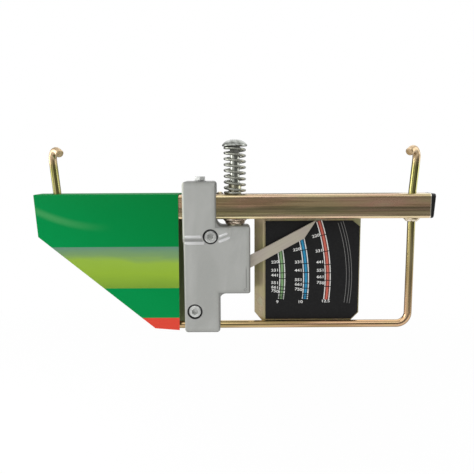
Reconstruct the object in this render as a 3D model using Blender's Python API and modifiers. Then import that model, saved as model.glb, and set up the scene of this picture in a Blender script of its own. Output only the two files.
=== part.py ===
"""Dial tension gauge for fence wire.

Two bent hooks hold the gauge on a taut wire, and a sprung plunger between them pushes the wire out of
line. The harder the wire pulls, the further the plunger sinks through the square beam. Its forked end
drives a slotted lever on a pivot inside the cast housing, and the long end of that lever is the
pointer, which sweeps down across the dial plate.

Metres, +Z up. The origin is on the line where the wire bears on the two hooks, above the beam and on
the plunger's axis. +X runs along the beam towards the dial, and -Y is the side with the scales.
"""
import math

import bmesh
import bpy
from mathutils import Matrix, Vector

# Fits that many pieces share
GAP = 0.0003
OVERRUN = 0.004
ARC_STEP = math.radians(15)
FLAT_ANGLE = math.radians(1)

# Square tube beam and its end caps
BEAM_SIDE = 0.025
BEAM_WALL = 0.002
BEAM_CORNER = 0.003
BEAM_LENGTH = 0.397
CAP_FLANGE = 0.0038
CAP_EDGE = 0.0012
CAP_LEAN = 0.0017
CAP_PLUG = 0.01
CAP_FIN_DEPTH = 0.0012
CAP_FINS = 3

# Bent rod: two hooks and the handle loop
ROD_DIAMETER = 0.008
ROD_INSET = 0.0155
ROD_BEND = 0.012
HOOK_RISE = 0.0405
HOOK_BEND = 0.0095
HOOK_SWEEP = math.radians(118)
HOOK_TOE = 0.005
HOOK_LEAN = math.radians(4.7)
HOOK_INWARD = math.radians(43)
LEAN_START = 0.0025
LEAN_BEND = 0.02
HANDLE_DROP = 0.1135
STRUT_TOP_DROP = 0.0225
STRUT_FOOT = 0.0755

# Weld beads
ROD_WELD_LEG = 0.0037
BUSH_WELD_LEG = 0.0034
BUSH_WELD_RISE = 0.0052
TACK_LENGTH = 0.0085
TACK_THICK = 0.003
BLOB_LENGTH = 0.0068
BLOB_WIDTH = 0.007
BLOB_RISE = 0.0026

# Plunger: cup head square neck bolt, spring and nuts
HEAD_DIAMETER = 0.0256
HEAD_RISE = 0.007
HEAD_RIM = 0.0016
NECK_SIDE = 0.0098
NECK_LENGTH = 0.0067
SHANK_DIAMETER = 0.0098
PIN_DROP = 0.026
SPRING_OUTSIDE = 0.023
SPRING_WIRE = 0.0026
SPRING_LENGTH = 0.0485
SPRING_TURNS = 8.6
SPRING_FLAT_TURNS = 0.3
SPRING_RAMP_TURNS = 0.3
CURL_POINTS = 10
NUT_ACROSS = 0.017
NUT_HEIGHT = 0.008
LOCK_NUT_HEIGHT = 0.005
FORK_SLOT_PLAY = 0.0004
FORK_END = 0.004
FORK_SLOT_SPARE = 0.0008
CROSS_PIN = 0.004

# Guide bush
BUSH_SPIGOT = 0.0132
BUSH_STANDS_UP = 0.0108
BUSH_BODY = 0.017
BUSH_DEPTH = 0.0145
BUSH_BORE_PLAY = 0.0004

# Lever and pointer
PIVOT_ARM = 0.013
TIP_CLEARANCE = 0.0022
SWEEP = math.radians(38.4)
LEVER_THICK = 0.003
LEVER_WIDTH = 0.012
POINTER_END_WIDTH = 0.0109
POINTER_REACH = 0.1138
POINTER_CUT = 0.0203
EYE_RADIUS = 0.008
HUB_DIAMETER = 0.009
HUB_LENGTH = 0.012
PIVOT_PIN = 0.005
LEVER_CLEARANCE = 0.0019

# Cast housing in two halves
CAST_WALL = 0.0032
BLOCK_CLEARANCE = 0.0069
BLOCK_WIDTH = 0.0342
COLUMN_STEP = 0.003
CHAMBER_REACH = 0.0155
BLOCK_RISE = 0.0134
CHAMBER_DROP = 0.0069
ROD_COVER = 0.001
NUT_PLAY = 0.0008
THROAT_PLAY = 0.0022
CORNER = 0.0035
TIGHT_CORNER = 0.0025
INNER_FILLET = 0.0064
RIM_ROUND = 0.002
BLOCK_SHELF = 0.023
SHELF_SLOPE = 0.0065
TONGUE_RISE = 0.0045
TONGUE_TIP = 0.0036
PIN_SEAT = 0.002
PIVOT_BOSS = 0.0065
POCKET_WALL = 0.004

# Housing screws and clamp bolt
SCREW_THREAD = 0.008
SCREW_HEAD = 0.013
SCREW_HEAD_RISE = 0.008
SCREW_SHANK = 0.016
SCREW_SOCKET = 0.006
SOCKET_DEPTH = 0.004
COUNTERBORE_PLAY = 0.0008
UPPER_SCREW_IN = 0.006
UPPER_SCREW_DROP = 0.0174
UPPER_SCREW_SINK = 0.002
LOWER_SCREW_IN = 0.0111
LOWER_SCREW_RISE = 0.0173
LOWER_SCREW_SINK = 0.0005
CLAMP_THREAD = 0.006
CLAMP_HEAD = 0.01
CLAMP_HEAD_RISE = 0.004
CLAMP_IN = 0.018
CLAMP_BACK = 0.008
CLAMP_BOSS = 0.0063
CLAMP_BOSS_RISE = 0.0007

# Dial plate and its printed face
PLATE_THICK = 0.0015
PLATE_GAP = 0.0038
PLATE_WIDTH = 0.1123
PLATE_CHAMFER = 0.011
FLANGE_WIDTH = 0.012
FLANGE_ANGLE = math.radians(25)
FLANGE_BEND = 0.0012
FACE_THICK = 0.0004
FACE_MARGIN = 0.0011
FACE_TOP_MARGIN = 0.0032
FACE_CUT_ACROSS = 0.0075
FACE_CUT_DOWN = 0.0062

# Card sleeve folded over the beam
CARD_THICK = 0.0007
CARD_FOLD = 0.001
CARD_OVERHANG = 0.0042
CARD_LEAN = 0.0026
CARD_HOUSING_GAP = 0.003
CARD_SKEW = 0.0008
CARD_SIDE_DROP = 0.0168
CARD_FOOT_RIGHT = 0.0273
CARD_FOOT_RISE = 0.0021
CARD_BOTTOM_RISE = 0.002
CARD_ROD_PLAY = 0.0015

# Places that follow from the sizes above
ROD_RADIUS = ROD_DIAMETER / 2
BEAM_TOP = -HOOK_RISE
BEAM_BOTTOM = BEAM_TOP - BEAM_SIDE
BEAM_MIDDLE = BEAM_TOP - BEAM_SIDE / 2
BEAM_HALF = BEAM_LENGTH / 2
LEG_X = BEAM_HALF - ROD_INSET
ROD_Z = BEAM_BOTTOM - HANDLE_DROP
SHANK_RADIUS = SHANK_DIAMETER / 2
HEAD_UNDER = BEAM_TOP + SPRING_LENGTH
NUT_TOP = BEAM_BOTTOM - BUSH_DEPTH - GAP
LOCK_NUT_TOP = NUT_TOP - NUT_HEIGHT - GAP
CROSS_PIN_Z = LOCK_NUT_TOP - LOCK_NUT_HEIGHT - PIN_DROP
SHANK_END = CROSS_PIN_Z - FORK_END


def rest_angle():
    """How steeply the pointer stands when its tip is just clear of the beam."""
    angle = 0
    for _ in range(30):
        pivot = CROSS_PIN_Z - PIVOT_ARM * math.tan(angle)
        corner = POINTER_END_WIDTH / 2 * math.cos(angle)
        climb = BEAM_BOTTOM - TIP_CLEARANCE - pivot - corner
        angle = math.asin(climb / POINTER_REACH)
    return angle


REST_ANGLE = rest_angle()
PIVOT_X = -PIVOT_ARM
PIVOT_Z = CROSS_PIN_Z - PIVOT_ARM * math.tan(REST_ANGLE)
LOW_ANGLE = SWEEP - REST_ANGLE
TRAVEL = PIVOT_ARM * (math.tan(REST_ANGLE) + math.tan(LOW_ANGLE))
TURN_PER_TRAVEL = SWEEP / TRAVEL
CHAMBER_HALF = NUT_ACROSS / 2 + NUT_PLAY
BODY_HALF = CHAMBER_HALF + CAST_WALL
BLOCK_HALF = BEAM_SIDE / 2 + GAP + CAST_WALL
BLOCK_RIGHT = -BUSH_BODY / 2 - GAP - BUSH_WELD_LEG - BLOCK_CLEARANCE
HOUSING_LEFT = BLOCK_RIGHT - BLOCK_WIDTH
COLUMN_RIGHT = BLOCK_RIGHT + COLUMN_STEP
BLOCK_TOP = BEAM_TOP + BLOCK_RISE
CHAMBER_TOP = BEAM_BOTTOM - CHAMBER_DROP
LEVER_DROOP = ((CHAMBER_REACH + PIVOT_ARM) * math.tan(LOW_ANGLE)
               + LEVER_WIDTH / 2 / math.cos(LOW_ANGLE))
LEVER_RISE = ((CHAMBER_REACH + PIVOT_ARM) * math.tan(REST_ANGLE)
              + LEVER_WIDTH / 2 / math.cos(REST_ANGLE))
CHAMBER_FLOOR = PIVOT_Z - LEVER_DROOP - LEVER_CLEARANCE
CHAMBER_BOTTOM = CHAMBER_FLOOR - CAST_WALL
HOUSING_BOTTOM = ROD_Z - ROD_RADIUS - GAP - ROD_COVER
UPPER_SCREW = (BLOCK_RIGHT - UPPER_SCREW_IN, BEAM_BOTTOM - UPPER_SCREW_DROP)
LOWER_SCREW = (HOUSING_LEFT + LOWER_SCREW_IN, ROD_Z + LOWER_SCREW_RISE)
CLAMP_X = HOUSING_LEFT + CLAMP_IN
PLATE_LEFT = CHAMBER_REACH + PLATE_GAP
PLATE_RIGHT = PLATE_LEFT + PLATE_WIDTH
PLATE_TOP = BEAM_BOTTOM - GAP
PLATE_FRONT = ROD_RADIUS + GAP
CARD_INSIDE = BEAM_SIDE / 2 + GAP
CARD_TOP = BEAM_TOP + GAP + CARD_THICK

# Finishes seen on the pieces: colour, roughness, metallic
FINISHES = {
    "yellow zinc": ((0.62, 0.52, 0.30), 0.32, 1.0),
    "bright zinc": ((0.66, 0.67, 0.66), 0.3, 1.0),
    "cast alloy": ((0.42, 0.43, 0.42), 0.55, 0.6),
    "satin steel": ((0.40, 0.37, 0.31), 0.45, 0.9),
    "plate steel": ((0.45, 0.42, 0.33), 0.38, 0.9),
    "black plastic": ((0.012, 0.012, 0.013), 0.5, 0.0),
    "black print": ((0.015, 0.016, 0.017), 0.4, 0.0),
    "green card": ((0.0, 0.24, 0.055), 0.55, 0.0),
}


def new_collection(name):
    collection = bpy.data.collections.new(name)
    bpy.context.scene.collection.children.link(collection)
    return collection


for leftover in list(bpy.data.objects):
    bpy.data.objects.remove(leftover, do_unlink=True)
GAUGE = new_collection("dial tension gauge")
CUTTERS = new_collection("cutters")


def put_in(collection, thing):
    for other in list(thing.users_collection):
        other.objects.unlink(thing)
    collection.objects.link(thing)


def finish(piece, name):
    """Give a piece its own material."""
    colour, roughness, metallic = FINISHES[name]
    material = bpy.data.materials.new(piece.name + " " + name)
    material.use_nodes = True
    shader = material.node_tree.nodes["Principled BSDF"]
    shader.inputs["Base Color"].default_value = (*colour, 1.0)
    shader.inputs["Roughness"].default_value = roughness
    shader.inputs["Metallic"].default_value = metallic
    piece.data.materials.clear()
    piece.data.materials.append(material)
    return piece


def hide_cutter(cutter):
    cutter.hide_render = True
    cutter.display_type = "WIRE"
    put_in(CUTTERS, cutter)


def boolean(piece, tool, operation):
    hide_cutter(tool)
    modifier = piece.modifiers.new(operation.lower() + " " + tool.name, "BOOLEAN")
    modifier.operation = operation
    modifier.solver = "EXACT"
    modifier.object = tool


def cut(piece, *tools):
    for tool in tools:
        boolean(piece, tool, "DIFFERENCE")


def join(piece, *tools):
    for tool in tools:
        boolean(piece, tool, "UNION")


def smooth(piece, angle=math.radians(35)):
    piece.data.shade_smooth()
    piece.data.set_sharp_from_angle(angle=angle)


def box(name, low, high):
    """A block between two corners."""
    size = Vector(high) - Vector(low)
    bpy.ops.mesh.primitive_cube_add(size=1, location=(Vector(low) + Vector(high)) / 2)
    block = bpy.context.object
    block.name = name
    block.scale = size
    bpy.ops.object.transform_apply(location=False, rotation=False, scale=True)
    put_in(GAUGE, block)
    return block


AXIS_TURNS = {"X": (0, math.pi / 2, 0), "Y": (math.pi / 2, 0, 0), "Z": (0, 0, 0)}


def cylinder(name, radius, length, centre, axis, sides=32):
    """A round bar about one of the axes."""
    bpy.ops.mesh.primitive_cylinder_add(vertices=sides, radius=radius, depth=length, location=centre,
                                        rotation=AXIS_TURNS[axis])
    bar = bpy.context.object
    bar.name = name
    put_in(GAUGE, bar)
    return bar


def arc(centre, radius, start, sweep):
    """Points on an arc, both ends included."""
    steps = max(2, math.ceil(abs(sweep) / ARC_STEP))
    turns = [start + sweep * step / steps for step in range(steps + 1)]
    return [(centre[0] + radius * math.cos(turn), centre[1] + radius * math.sin(turn)) for turn in turns]


def rounded(corners):
    """A closed outline whose corners, given as x, y and radius, are rounded."""
    points = []
    count = len(corners)
    for index, (x, y, radius) in enumerate(corners):
        corner = Vector((x, y))
        before = (Vector(corners[index - 1][:2]) - corner).normalized()
        after = (Vector(corners[(index + 1) % count][:2]) - corner).normalized()
        if not radius:
            points.append((x, y))
            continue
        half_angle = before.angle(after) / 2
        middle = corner + (before + after).normalized() * radius / math.sin(half_angle)
        reach = radius / math.tan(half_angle)
        first = corner + before * reach - middle
        last = corner + after * reach - middle
        start = math.atan2(first.y, first.x)
        points += arc(middle, radius, start, last.angle_signed(first))
    return points


def curve_to_mesh(curve_object, name):
    """Turn a curve into a welded mesh that stands where the curve stood."""
    bpy.context.view_layer.update()
    evaluated = curve_object.evaluated_get(bpy.context.evaluated_depsgraph_get())
    mesh = bpy.data.meshes.new_from_object(evaluated)
    shape = bmesh.new()
    shape.from_mesh(mesh)
    bmesh.ops.remove_doubles(shape, verts=shape.verts, dist=GAP / 100)
    bmesh.ops.recalc_face_normals(shape, faces=shape.faces)
    shape.to_mesh(mesh)
    shape.free()
    place = curve_object.matrix_world.copy()
    curve = curve_object.data
    bpy.data.objects.remove(curve_object)
    bpy.data.curves.remove(curve)
    mesh.name = name
    placed = bpy.data.objects.new(name, mesh)
    placed.matrix_world = place
    GAUGE.objects.link(placed)
    return placed


def flat_shape(name, loops, thickness, location, rotation):
    """An outline and its holes, given thickness."""
    curve = bpy.data.curves.new(name, "CURVE")
    curve.dimensions = "2D"
    curve.fill_mode = "BOTH"
    curve.extrude = thickness / 2
    for loop in loops:
        spline = curve.splines.new("POLY")
        spline.points.add(len(loop) - 1)
        for point, (x, y) in zip(spline.points, loop):
            point.co = (x, y, 0, 1)
        spline.use_cyclic_u = True
    placed = bpy.data.objects.new(name, curve)
    placed.location = location
    placed.rotation_euler = rotation
    GAUGE.objects.link(placed)
    return curve_to_mesh(placed, name)


def upright(name, loops, front, back):
    """A flat shape drawn in X and Z that reaches from one depth to another."""
    return flat_shape(name, loops, back - front, (0, (front + back) / 2, 0), AXIS_TURNS["Y"])


def round_hole(centre, radius):
    return arc(centre, radius, 0, 2 * math.pi)[:-1]


def turned(name, profile, steps=32, closed=False):
    """A round piece about the Z axis from its outline of radius and height."""
    mesh = bpy.data.meshes.new(name)
    edges = [(index, index + 1) for index in range(len(profile) - 1)]
    if closed:
        edges.append((len(profile) - 1, 0))
    mesh.from_pydata([(radius, 0, height) for radius, height in profile], edges, [])
    piece = bpy.data.objects.new(name, mesh)
    GAUGE.objects.link(piece)
    screw = piece.modifiers.new("turn", "SCREW")
    screw.steps = steps
    screw.render_steps = steps
    screw.use_merge_vertices = True
    screw.merge_threshold = GAP / 30
    screw.use_smooth_shade = True
    return piece


def ring_profile(inner, outer, top, bottom):
    """The outline of a plain tube, down the outside and up the bore."""
    return [(outer, top), (outer, bottom), (inner, bottom), (inner, top)]


def tube_along(name, points, radius, roundness):
    """A round bar along a row of points."""
    curve = bpy.data.curves.new(name, "CURVE")
    curve.dimensions = "3D"
    curve.bevel_depth = radius
    curve.bevel_resolution = roundness
    curve.use_fill_caps = True
    spline = curve.splines.new("POLY")
    spline.points.add(len(points) - 1)
    for point, place in zip(spline.points, points):
        point.co = (*place, 1)
    spline.use_smooth = True
    piece = bpy.data.objects.new(name, curve)
    GAUGE.objects.link(piece)
    return piece


def empty_at(name, place):
    empty = bpy.data.objects.new(name, None)
    empty.location = place
    empty.empty_display_size = BEAM_SIDE
    GAUGE.objects.link(empty)
    return empty


def hang_on(empty, *pieces):
    """Parent pieces to an empty without moving them."""
    bpy.context.view_layer.update()
    for piece in pieces:
        piece.parent = empty
        piece.matrix_parent_inverse = empty.matrix_world.inverted()


# Beam

def rounded_square(side, corner):
    half = side / 2
    return rounded([(half, half, corner), (-half, half, corner), (-half, -half, corner),
                    (half, -half, corner)])


def make_beam():
    inside = BEAM_SIDE - 2 * BEAM_WALL
    loops = [rounded_square(BEAM_SIDE, BEAM_CORNER), rounded_square(inside, BEAM_CORNER - BEAM_WALL)]
    beam = flat_shape("beam", loops, BEAM_LENGTH, (0, 0, BEAM_MIDDLE), AXIS_TURNS["X"])
    through = BEAM_SIDE + 2 * OVERRUN
    for side, x in (("left", -LEG_X), ("right", LEG_X)):
        cut(beam, cylinder("rod hole " + side, ROD_RADIUS + GAP, through, (x, 0, BEAM_MIDDLE), "Z"))
    cut(beam, cylinder("bush hole", BUSH_SPIGOT / 2 + GAP, through, (0, 0, BEAM_MIDDLE), "Z"))
    smooth(beam)
    return finish(beam, "yellow zinc")


def make_end_cap(name, side):
    """A moulded plug with a flange outside the tube and thin fins inside it."""
    inside = BEAM_SIDE - 2 * BEAM_WALL - 2 * GAP
    face = side * (BEAM_HALF + GAP)
    cap = box(name, (min(face, face + side * CAP_FLANGE), -BEAM_SIDE / 2, BEAM_BOTTOM),
              (max(face, face + side * CAP_FLANGE), BEAM_SIDE / 2, BEAM_TOP))
    shape = bmesh.new()
    shape.from_mesh(cap.data)
    outer_x = face + side * CAP_FLANGE - cap.location.x
    rim = [edge for edge in shape.edges
           if all(abs(vertex.co.x - outer_x) < GAP for vertex in edge.verts)]
    corners = [edge for edge in shape.edges if abs(edge.verts[0].co.x - edge.verts[1].co.x) > GAP]
    bmesh.ops.bevel(shape, geom=corners, offset=BEAM_CORNER, segments=3, profile=0.5, affect="EDGES")
    rim = [edge for edge in shape.edges
           if all(abs(vertex.co.x - outer_x) < GAP for vertex in edge.verts)]
    bmesh.ops.bevel(shape, geom=rim, offset=CAP_EDGE, segments=2, profile=0.5, affect="EDGES")
    for vertex in shape.verts:
        if side * vertex.co.x > 0:
            vertex.co.x += side * CAP_LEAN * vertex.co.z / BEAM_SIDE
    shape.to_mesh(cap.data)
    shape.free()
    core = inside / 2 - CAP_FIN_DEPTH
    end = face - side * CAP_PLUG
    root = face + side * CAP_FLANGE / 2
    plug = box(name + " core", (min(root, end), -core, BEAM_MIDDLE - core),
               (max(root, end), core, BEAM_MIDDLE + core))
    join(cap, plug)
    pitch = CAP_PLUG / CAP_FINS
    for index in range(CAP_FINS):
        middle = face - side * pitch * (index + 0.5)
        fin = box(f"{name} fin {index + 1}", (middle - pitch / 5, -inside / 2, BEAM_MIDDLE - inside / 2),
                  (middle + pitch / 5, inside / 2, BEAM_MIDDLE + inside / 2))
        join(cap, fin)
    smooth(cap)
    return finish(cap, "black plastic")


# Bent rod

def bent_route(corners):
    """Points along straight runs joined by round bends at the corners between the two ends."""
    points = [corners[0][0]]
    for index in range(1, len(corners) - 1):
        corner, radius = corners[index]
        before = (corners[index - 1][0] - corner).normalized()
        after = (corners[index + 1][0] - corner).normalized()
        half_angle = before.angle(after) / 2
        sweep = math.pi - 2 * half_angle
        middle = corner + (before + after).normalized() * radius / math.sin(half_angle)
        first = corner + before * radius / math.tan(half_angle) - middle
        turn_axis = first.cross(corner + after * radius / math.tan(half_angle) - middle).normalized()
        steps = max(2, math.ceil(sweep / ARC_STEP))
        for step in range(steps + 1):
            points.append(middle + Matrix.Rotation(sweep * step / steps, 3, turn_axis) @ first)
    points.append(corners[-1][0])
    return points


def hook_corners(side):
    """From the beam up to the toe: the lean, the crown's corner and the toe."""
    up = Vector((side * math.sin(HOOK_LEAN), 0, math.cos(HOOK_LEAN)))
    forward = Vector((-side * math.sin(HOOK_INWARD), -math.cos(HOOK_INWARD), 0))
    forward = (forward - up * forward.dot(up)).normalized()
    reach = HOOK_BEND * math.tan(HOOK_SWEEP / 2)
    crown = HOOK_BEND * math.hypot(up.z, forward.z) + HOOK_BEND * forward.z
    lean_z = BEAM_TOP + LEAN_START
    climb = (ROD_RADIUS - crown - lean_z) / up.z
    bend_start = Vector((side * LEG_X, 0, lean_z)) + up * climb
    corner = bend_start + up * reach
    down = up * math.cos(HOOK_SWEEP) + forward * math.sin(HOOK_SWEEP)
    toe = corner + down * (reach + HOOK_TOE)
    return [(Vector((side * LEG_X, 0, lean_z)), LEAN_BEND), (corner, HOOK_BEND), (toe, 0)]


def make_rod():
    strut_top = Vector((-LEG_X, 0, BEAM_BOTTOM - STRUT_TOP_DROP))
    strut_foot = Vector((-STRUT_FOOT, 0, ROD_Z))
    handle_corner = Vector((LEG_X, 0, ROD_Z))
    corners = (hook_corners(-1)[::-1]
               + [(strut_top, ROD_BEND), (strut_foot, ROD_BEND), (handle_corner, ROD_BEND)]
               + hook_corners(1))
    return finish(tube_along("bent_rod", bent_route(corners), ROD_RADIUS, 5), "yellow zinc")


# Welds

def make_rod_weld(name, x):
    inner = ROD_RADIUS + GAP
    top = BEAM_BOTTOM - GAP
    waist = ROD_WELD_LEG / 3
    weld = turned(name, [(inner + ROD_WELD_LEG, top), (inner + ROD_WELD_LEG, top - waist),
                         (inner + waist, top - ROD_WELD_LEG), (inner, top - ROD_WELD_LEG), (inner, top)],
                  steps=20, closed=True)
    weld.location.x = x
    return finish(weld, "yellow zinc")


def make_bush_weld():
    inner = BUSH_BODY / 2 + GAP
    top = BEAM_BOTTOM - GAP
    waist = BUSH_WELD_LEG / 4
    weld = turned("bush_weld", [(inner + BUSH_WELD_LEG, top), (inner + BUSH_WELD_LEG, top - waist),
                                (inner + BUSH_WELD_LEG / 2, top - BUSH_WELD_RISE / 2),
                                (inner + waist, top - BUSH_WELD_RISE), (inner, top - BUSH_WELD_RISE),
                                (inner, top)], steps=28, closed=True)
    return finish(weld, "yellow zinc")


def bead(name, size, place):
    """A short rounded weld bead."""
    bpy.ops.mesh.primitive_uv_sphere_add(segments=12, ring_count=8, radius=0.5, location=place)
    blob = bpy.context.object
    blob.name = name
    blob.scale = size
    bpy.ops.object.transform_apply(location=False, rotation=False, scale=True)
    blob.data.shade_smooth()
    put_in(GAUGE, blob)
    return finish(blob, "yellow zinc")


def make_beads():
    size = (TACK_LENGTH, TACK_THICK, TACK_THICK)
    behind = PLATE_FRONT + PLATE_THICK + GAP + TACK_THICK / 2
    under = BEAM_BOTTOM - GAP - TACK_THICK / 2
    flat = PLATE_WIDTH - FLANGE_WIDTH
    for name, share in (("left", 1 / 4), ("right", 3 / 4)):
        x = PLATE_LEFT + FLANGE_WIDTH + flat * share
        bead("plate_weld_top_" + name, size, (x, behind, under))
    drop = GAP + TACK_THICK / 2
    beside_rod = math.sqrt((ROD_RADIUS + drop) ** 2 - drop ** 2)
    for name, share in (("left", 1 / 4), ("right", 3 / 4)):
        x = PLATE_LEFT + FLANGE_WIDTH + flat * share
        bead("plate_weld_bottom_" + name, size, (x, beside_rod, ROD_Z - drop))
    blob = bead("locating_weld", (BLOB_LENGTH, BLOB_WIDTH, 2 * BLOB_RISE),
                (BLOCK_RIGHT + GAP + BLOB_LENGTH / 2, -BEAM_CORNER, BEAM_TOP + GAP))
    shape = bmesh.new()
    shape.from_mesh(blob.data)
    sliced = bmesh.ops.bisect_plane(shape, geom=shape.verts[:] + shape.edges[:] + shape.faces[:],
                                    plane_co=(0, 0, 0), plane_no=(0, 0, -1), clear_outer=True)
    rim = [item for item in sliced["geom_cut"] if isinstance(item, bmesh.types.BMEdge)]
    bmesh.ops.contextual_create(shape, geom=rim)
    shape.to_mesh(blob.data)
    shape.free()


# Plunger

def make_bolt():
    """Cup head, square neck and a forked, cross drilled end."""
    radius = HEAD_DIAMETER / 2
    dome = HEAD_RISE - HEAD_RIM
    ball = (radius ** 2 + dome ** 2) / (2 * dome)
    half = math.asin(radius / ball)
    steps = 6
    rim_top = HEAD_UNDER + HEAD_RIM
    crown = [(ball * math.sin(half * step / steps),
              rim_top + dome - ball * (1 - math.cos(half * step / steps))) for step in range(steps + 1)]
    crown[0] = (0, rim_top + dome)
    rim = [(radius - HEAD_RIM / 4, HEAD_UNDER), (SHANK_RADIUS, HEAD_UNDER)]
    tip = FORK_END / 5
    foot = [(SHANK_RADIUS, SHANK_END + tip), (SHANK_RADIUS - tip, SHANK_END), (0, SHANK_END)]
    bolt = turned("plunger_bolt", crown + rim + foot, steps=32)
    half_neck = NECK_SIDE / 2
    neck = box("square neck", (-half_neck, -half_neck, HEAD_UNDER - NECK_LENGTH),
               (half_neck, half_neck, HEAD_UNDER + HEAD_RIM / 2))
    join(bolt, neck)
    slot_half = LEVER_THICK / 2 + FORK_SLOT_PLAY
    slot_top = (CROSS_PIN_Z + LEVER_WIDTH / 2 / math.cos(REST_ANGLE)
                + SHANK_RADIUS * math.tan(REST_ANGLE) + FORK_SLOT_SPARE)
    cut(bolt, box("fork slot", (-SHANK_DIAMETER, -slot_half, SHANK_END - OVERRUN),
                  (SHANK_DIAMETER, slot_half, slot_top)))
    cut(bolt, cylinder("cross hole", CROSS_PIN / 2 + GAP, SHANK_DIAMETER + 2 * OVERRUN,
                       (0, 0, CROSS_PIN_Z), "Y", sides=20))
    return finish(bolt, "bright zinc")


def make_cross_pin():
    pin = cylinder("cross_pin", CROSS_PIN / 2, SHANK_DIAMETER - 2 * GAP, (0, 0, CROSS_PIN_Z), "Y",
                   sides=20)
    smooth(pin)
    return finish(pin, "bright zinc")


def make_nut(name, height, top):
    """A hexagon with its flats towards the housing walls."""
    across_corners = NUT_ACROSS / 2 / math.cos(math.pi / 6)
    hexagon = [(across_corners * math.cos(math.pi / 3 * side), across_corners * math.sin(math.pi / 3 * side))
               for side in range(6)]
    bore = round_hole((0, 0), SHANK_RADIUS + GAP)
    nut = flat_shape(name, [hexagon, bore], height, (0, 0, top - height / 2), AXIS_TURNS["Z"])
    smooth(nut)
    return finish(nut, "bright zinc")


def spring_height(turn, pitch):
    """How far the wire has come down after some turns, with flat ends eased into the pitch."""
    flat, ramp = SPRING_FLAT_TURNS, SPRING_RAMP_TURNS

    def eased(share_of_ramp):
        return pitch * ramp * share_of_ramp ** 2 / 2

    if turn <= flat:
        return 0
    if turn <= flat + ramp:
        return eased((turn - flat) / ramp)
    if turn <= SPRING_TURNS - flat - ramp:
        return eased(1) + pitch * (turn - flat - ramp)
    total = pitch * (SPRING_TURNS - 2 * flat - ramp)
    return total - spring_height(SPRING_TURNS - turn, pitch)


def make_spring():
    """A left hand compression spring between the beam and the head, flat where it meets them."""
    wire = SPRING_WIRE / 2
    top = HEAD_UNDER - GAP - wire
    span = SPRING_LENGTH - 2 * GAP - SPRING_WIRE
    pitch = span / (SPRING_TURNS - 2 * SPRING_FLAT_TURNS - SPRING_RAMP_TURNS)
    radius = SPRING_OUTSIDE / 2 - wire
    start = math.pi - 2 * math.pi * SPRING_FLAT_TURNS
    count = round(SPRING_TURNS * CURL_POINTS)
    points = []
    for index in range(count + 1):
        turn = SPRING_TURNS * index / count
        angle = start + 2 * math.pi * turn
        points.append(Vector((radius * math.cos(angle), radius * math.sin(angle),
                              top - spring_height(turn, pitch))))
    first_run = (points[0] - points[1]).normalized() * SPRING_WIRE
    last_run = (points[-1] - points[-2]).normalized() * SPRING_WIRE
    points = [points[0] + first_run] + points + [points[-1] + last_run]
    nearest = min((one - other).length for place, one in enumerate(points)
                  for other in points[place + CURL_POINTS // 2:])
    print(f"least gap of the spring to itself: {1000 * (nearest - SPRING_WIRE):.2f} mm")
    return finish(tube_along("plunger_spring", points, wire, 1), "bright zinc")


def make_bush():
    bore = SHANK_RADIUS + BUSH_BORE_PLAY
    spigot = BUSH_SPIGOT / 2
    body = BUSH_BODY / 2
    top = BEAM_TOP + BUSH_STANDS_UP
    shoulder = BEAM_BOTTOM - GAP
    foot = BEAM_BOTTOM - BUSH_DEPTH
    lip = BUSH_BORE_PLAY
    bush = turned("guide_bush", [(spigot - lip, top), (spigot, top - lip), (spigot, shoulder),
                                 (body, shoulder), (body, foot), (bore, foot), (bore, top)],
                  closed=True)
    return finish(bush, "yellow zinc")


# Lever, pointer and pivot

def lever_point(along, across):
    """A place on the lever, from its pivot along and across the strip, with the pointer at rest."""
    turn = Matrix.Rotation(REST_ANGLE, 2)
    place = turn @ Vector((along, across))
    return (PIVOT_X + place.x, PIVOT_Z + place.y)


def slot_path():
    """The cross pin's way through the lever, such that the lever turns in step with the plunger."""
    steps = 6
    path = []
    for step in range(steps + 1):
        sunk = TRAVEL * step / steps
        angle = REST_ANGLE - TURN_PER_TRAVEL * sunk
        pin = Vector((PIVOT_ARM, PIVOT_ARM * math.tan(REST_ANGLE) - sunk))
        path.append(Matrix.Rotation(-angle, 2) @ pin)
    return path


def slot_outline():
    """The slot that clears the pin all along its way: its hull of circles about the path."""
    radius = CROSS_PIN / 2 + GAP
    path = slot_path()
    low = min(path, key=lambda place: place.x)
    high = max(path, key=lambda place: place.x)
    top = max(place.y for place in path)
    bottom = min(place.y for place in path)
    half = radius + (top - bottom) / 2
    middle = (top + bottom) / 2
    right = arc((high.x, middle), half, -math.pi / 2, math.pi)
    left = arc((low.x, middle), half, math.pi / 2, math.pi)
    return [lever_point(along, across) for along, across in right + left]


def make_pointer():
    root = LEVER_WIDTH / 2
    end = POINTER_END_WIDTH / 2
    neck = math.asin(root / EYE_RADIUS)
    eye = arc((0, 0), EYE_RADIUS, neck, 2 * (math.pi - neck))
    strip = [(POINTER_REACH - POINTER_CUT, -end), (POINTER_REACH, end)]
    outline = [lever_point(along, across) for along, across in eye + strip]
    hub_hole = round_hole((PIVOT_X, PIVOT_Z), HUB_DIAMETER / 2 + GAP)
    pointer = upright("pointer", [outline, hub_hole, slot_outline()], -LEVER_THICK / 2, LEVER_THICK / 2)
    smooth(pointer)
    return finish(pointer, "satin steel")


def make_hub():
    hub = turned("pointer_hub", ring_profile(PIVOT_PIN / 2 + GAP, HUB_DIAMETER / 2, HUB_LENGTH / 2,
                                             -HUB_LENGTH / 2), steps=24, closed=True)
    hub.rotation_euler = AXIS_TURNS["Y"]
    hub.location = (PIVOT_X, 0, PIVOT_Z)
    return finish(hub, "bright zinc")


def make_pivot_pin():
    length = 2 * (CHAMBER_HALF + PIN_SEAT - GAP)
    pin = cylinder("pivot_pin", PIVOT_PIN / 2, length, (PIVOT_X, 0, PIVOT_Z), "Y", sides=24)
    smooth(pin)
    return finish(pin, "bright zinc")


# Housing

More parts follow.
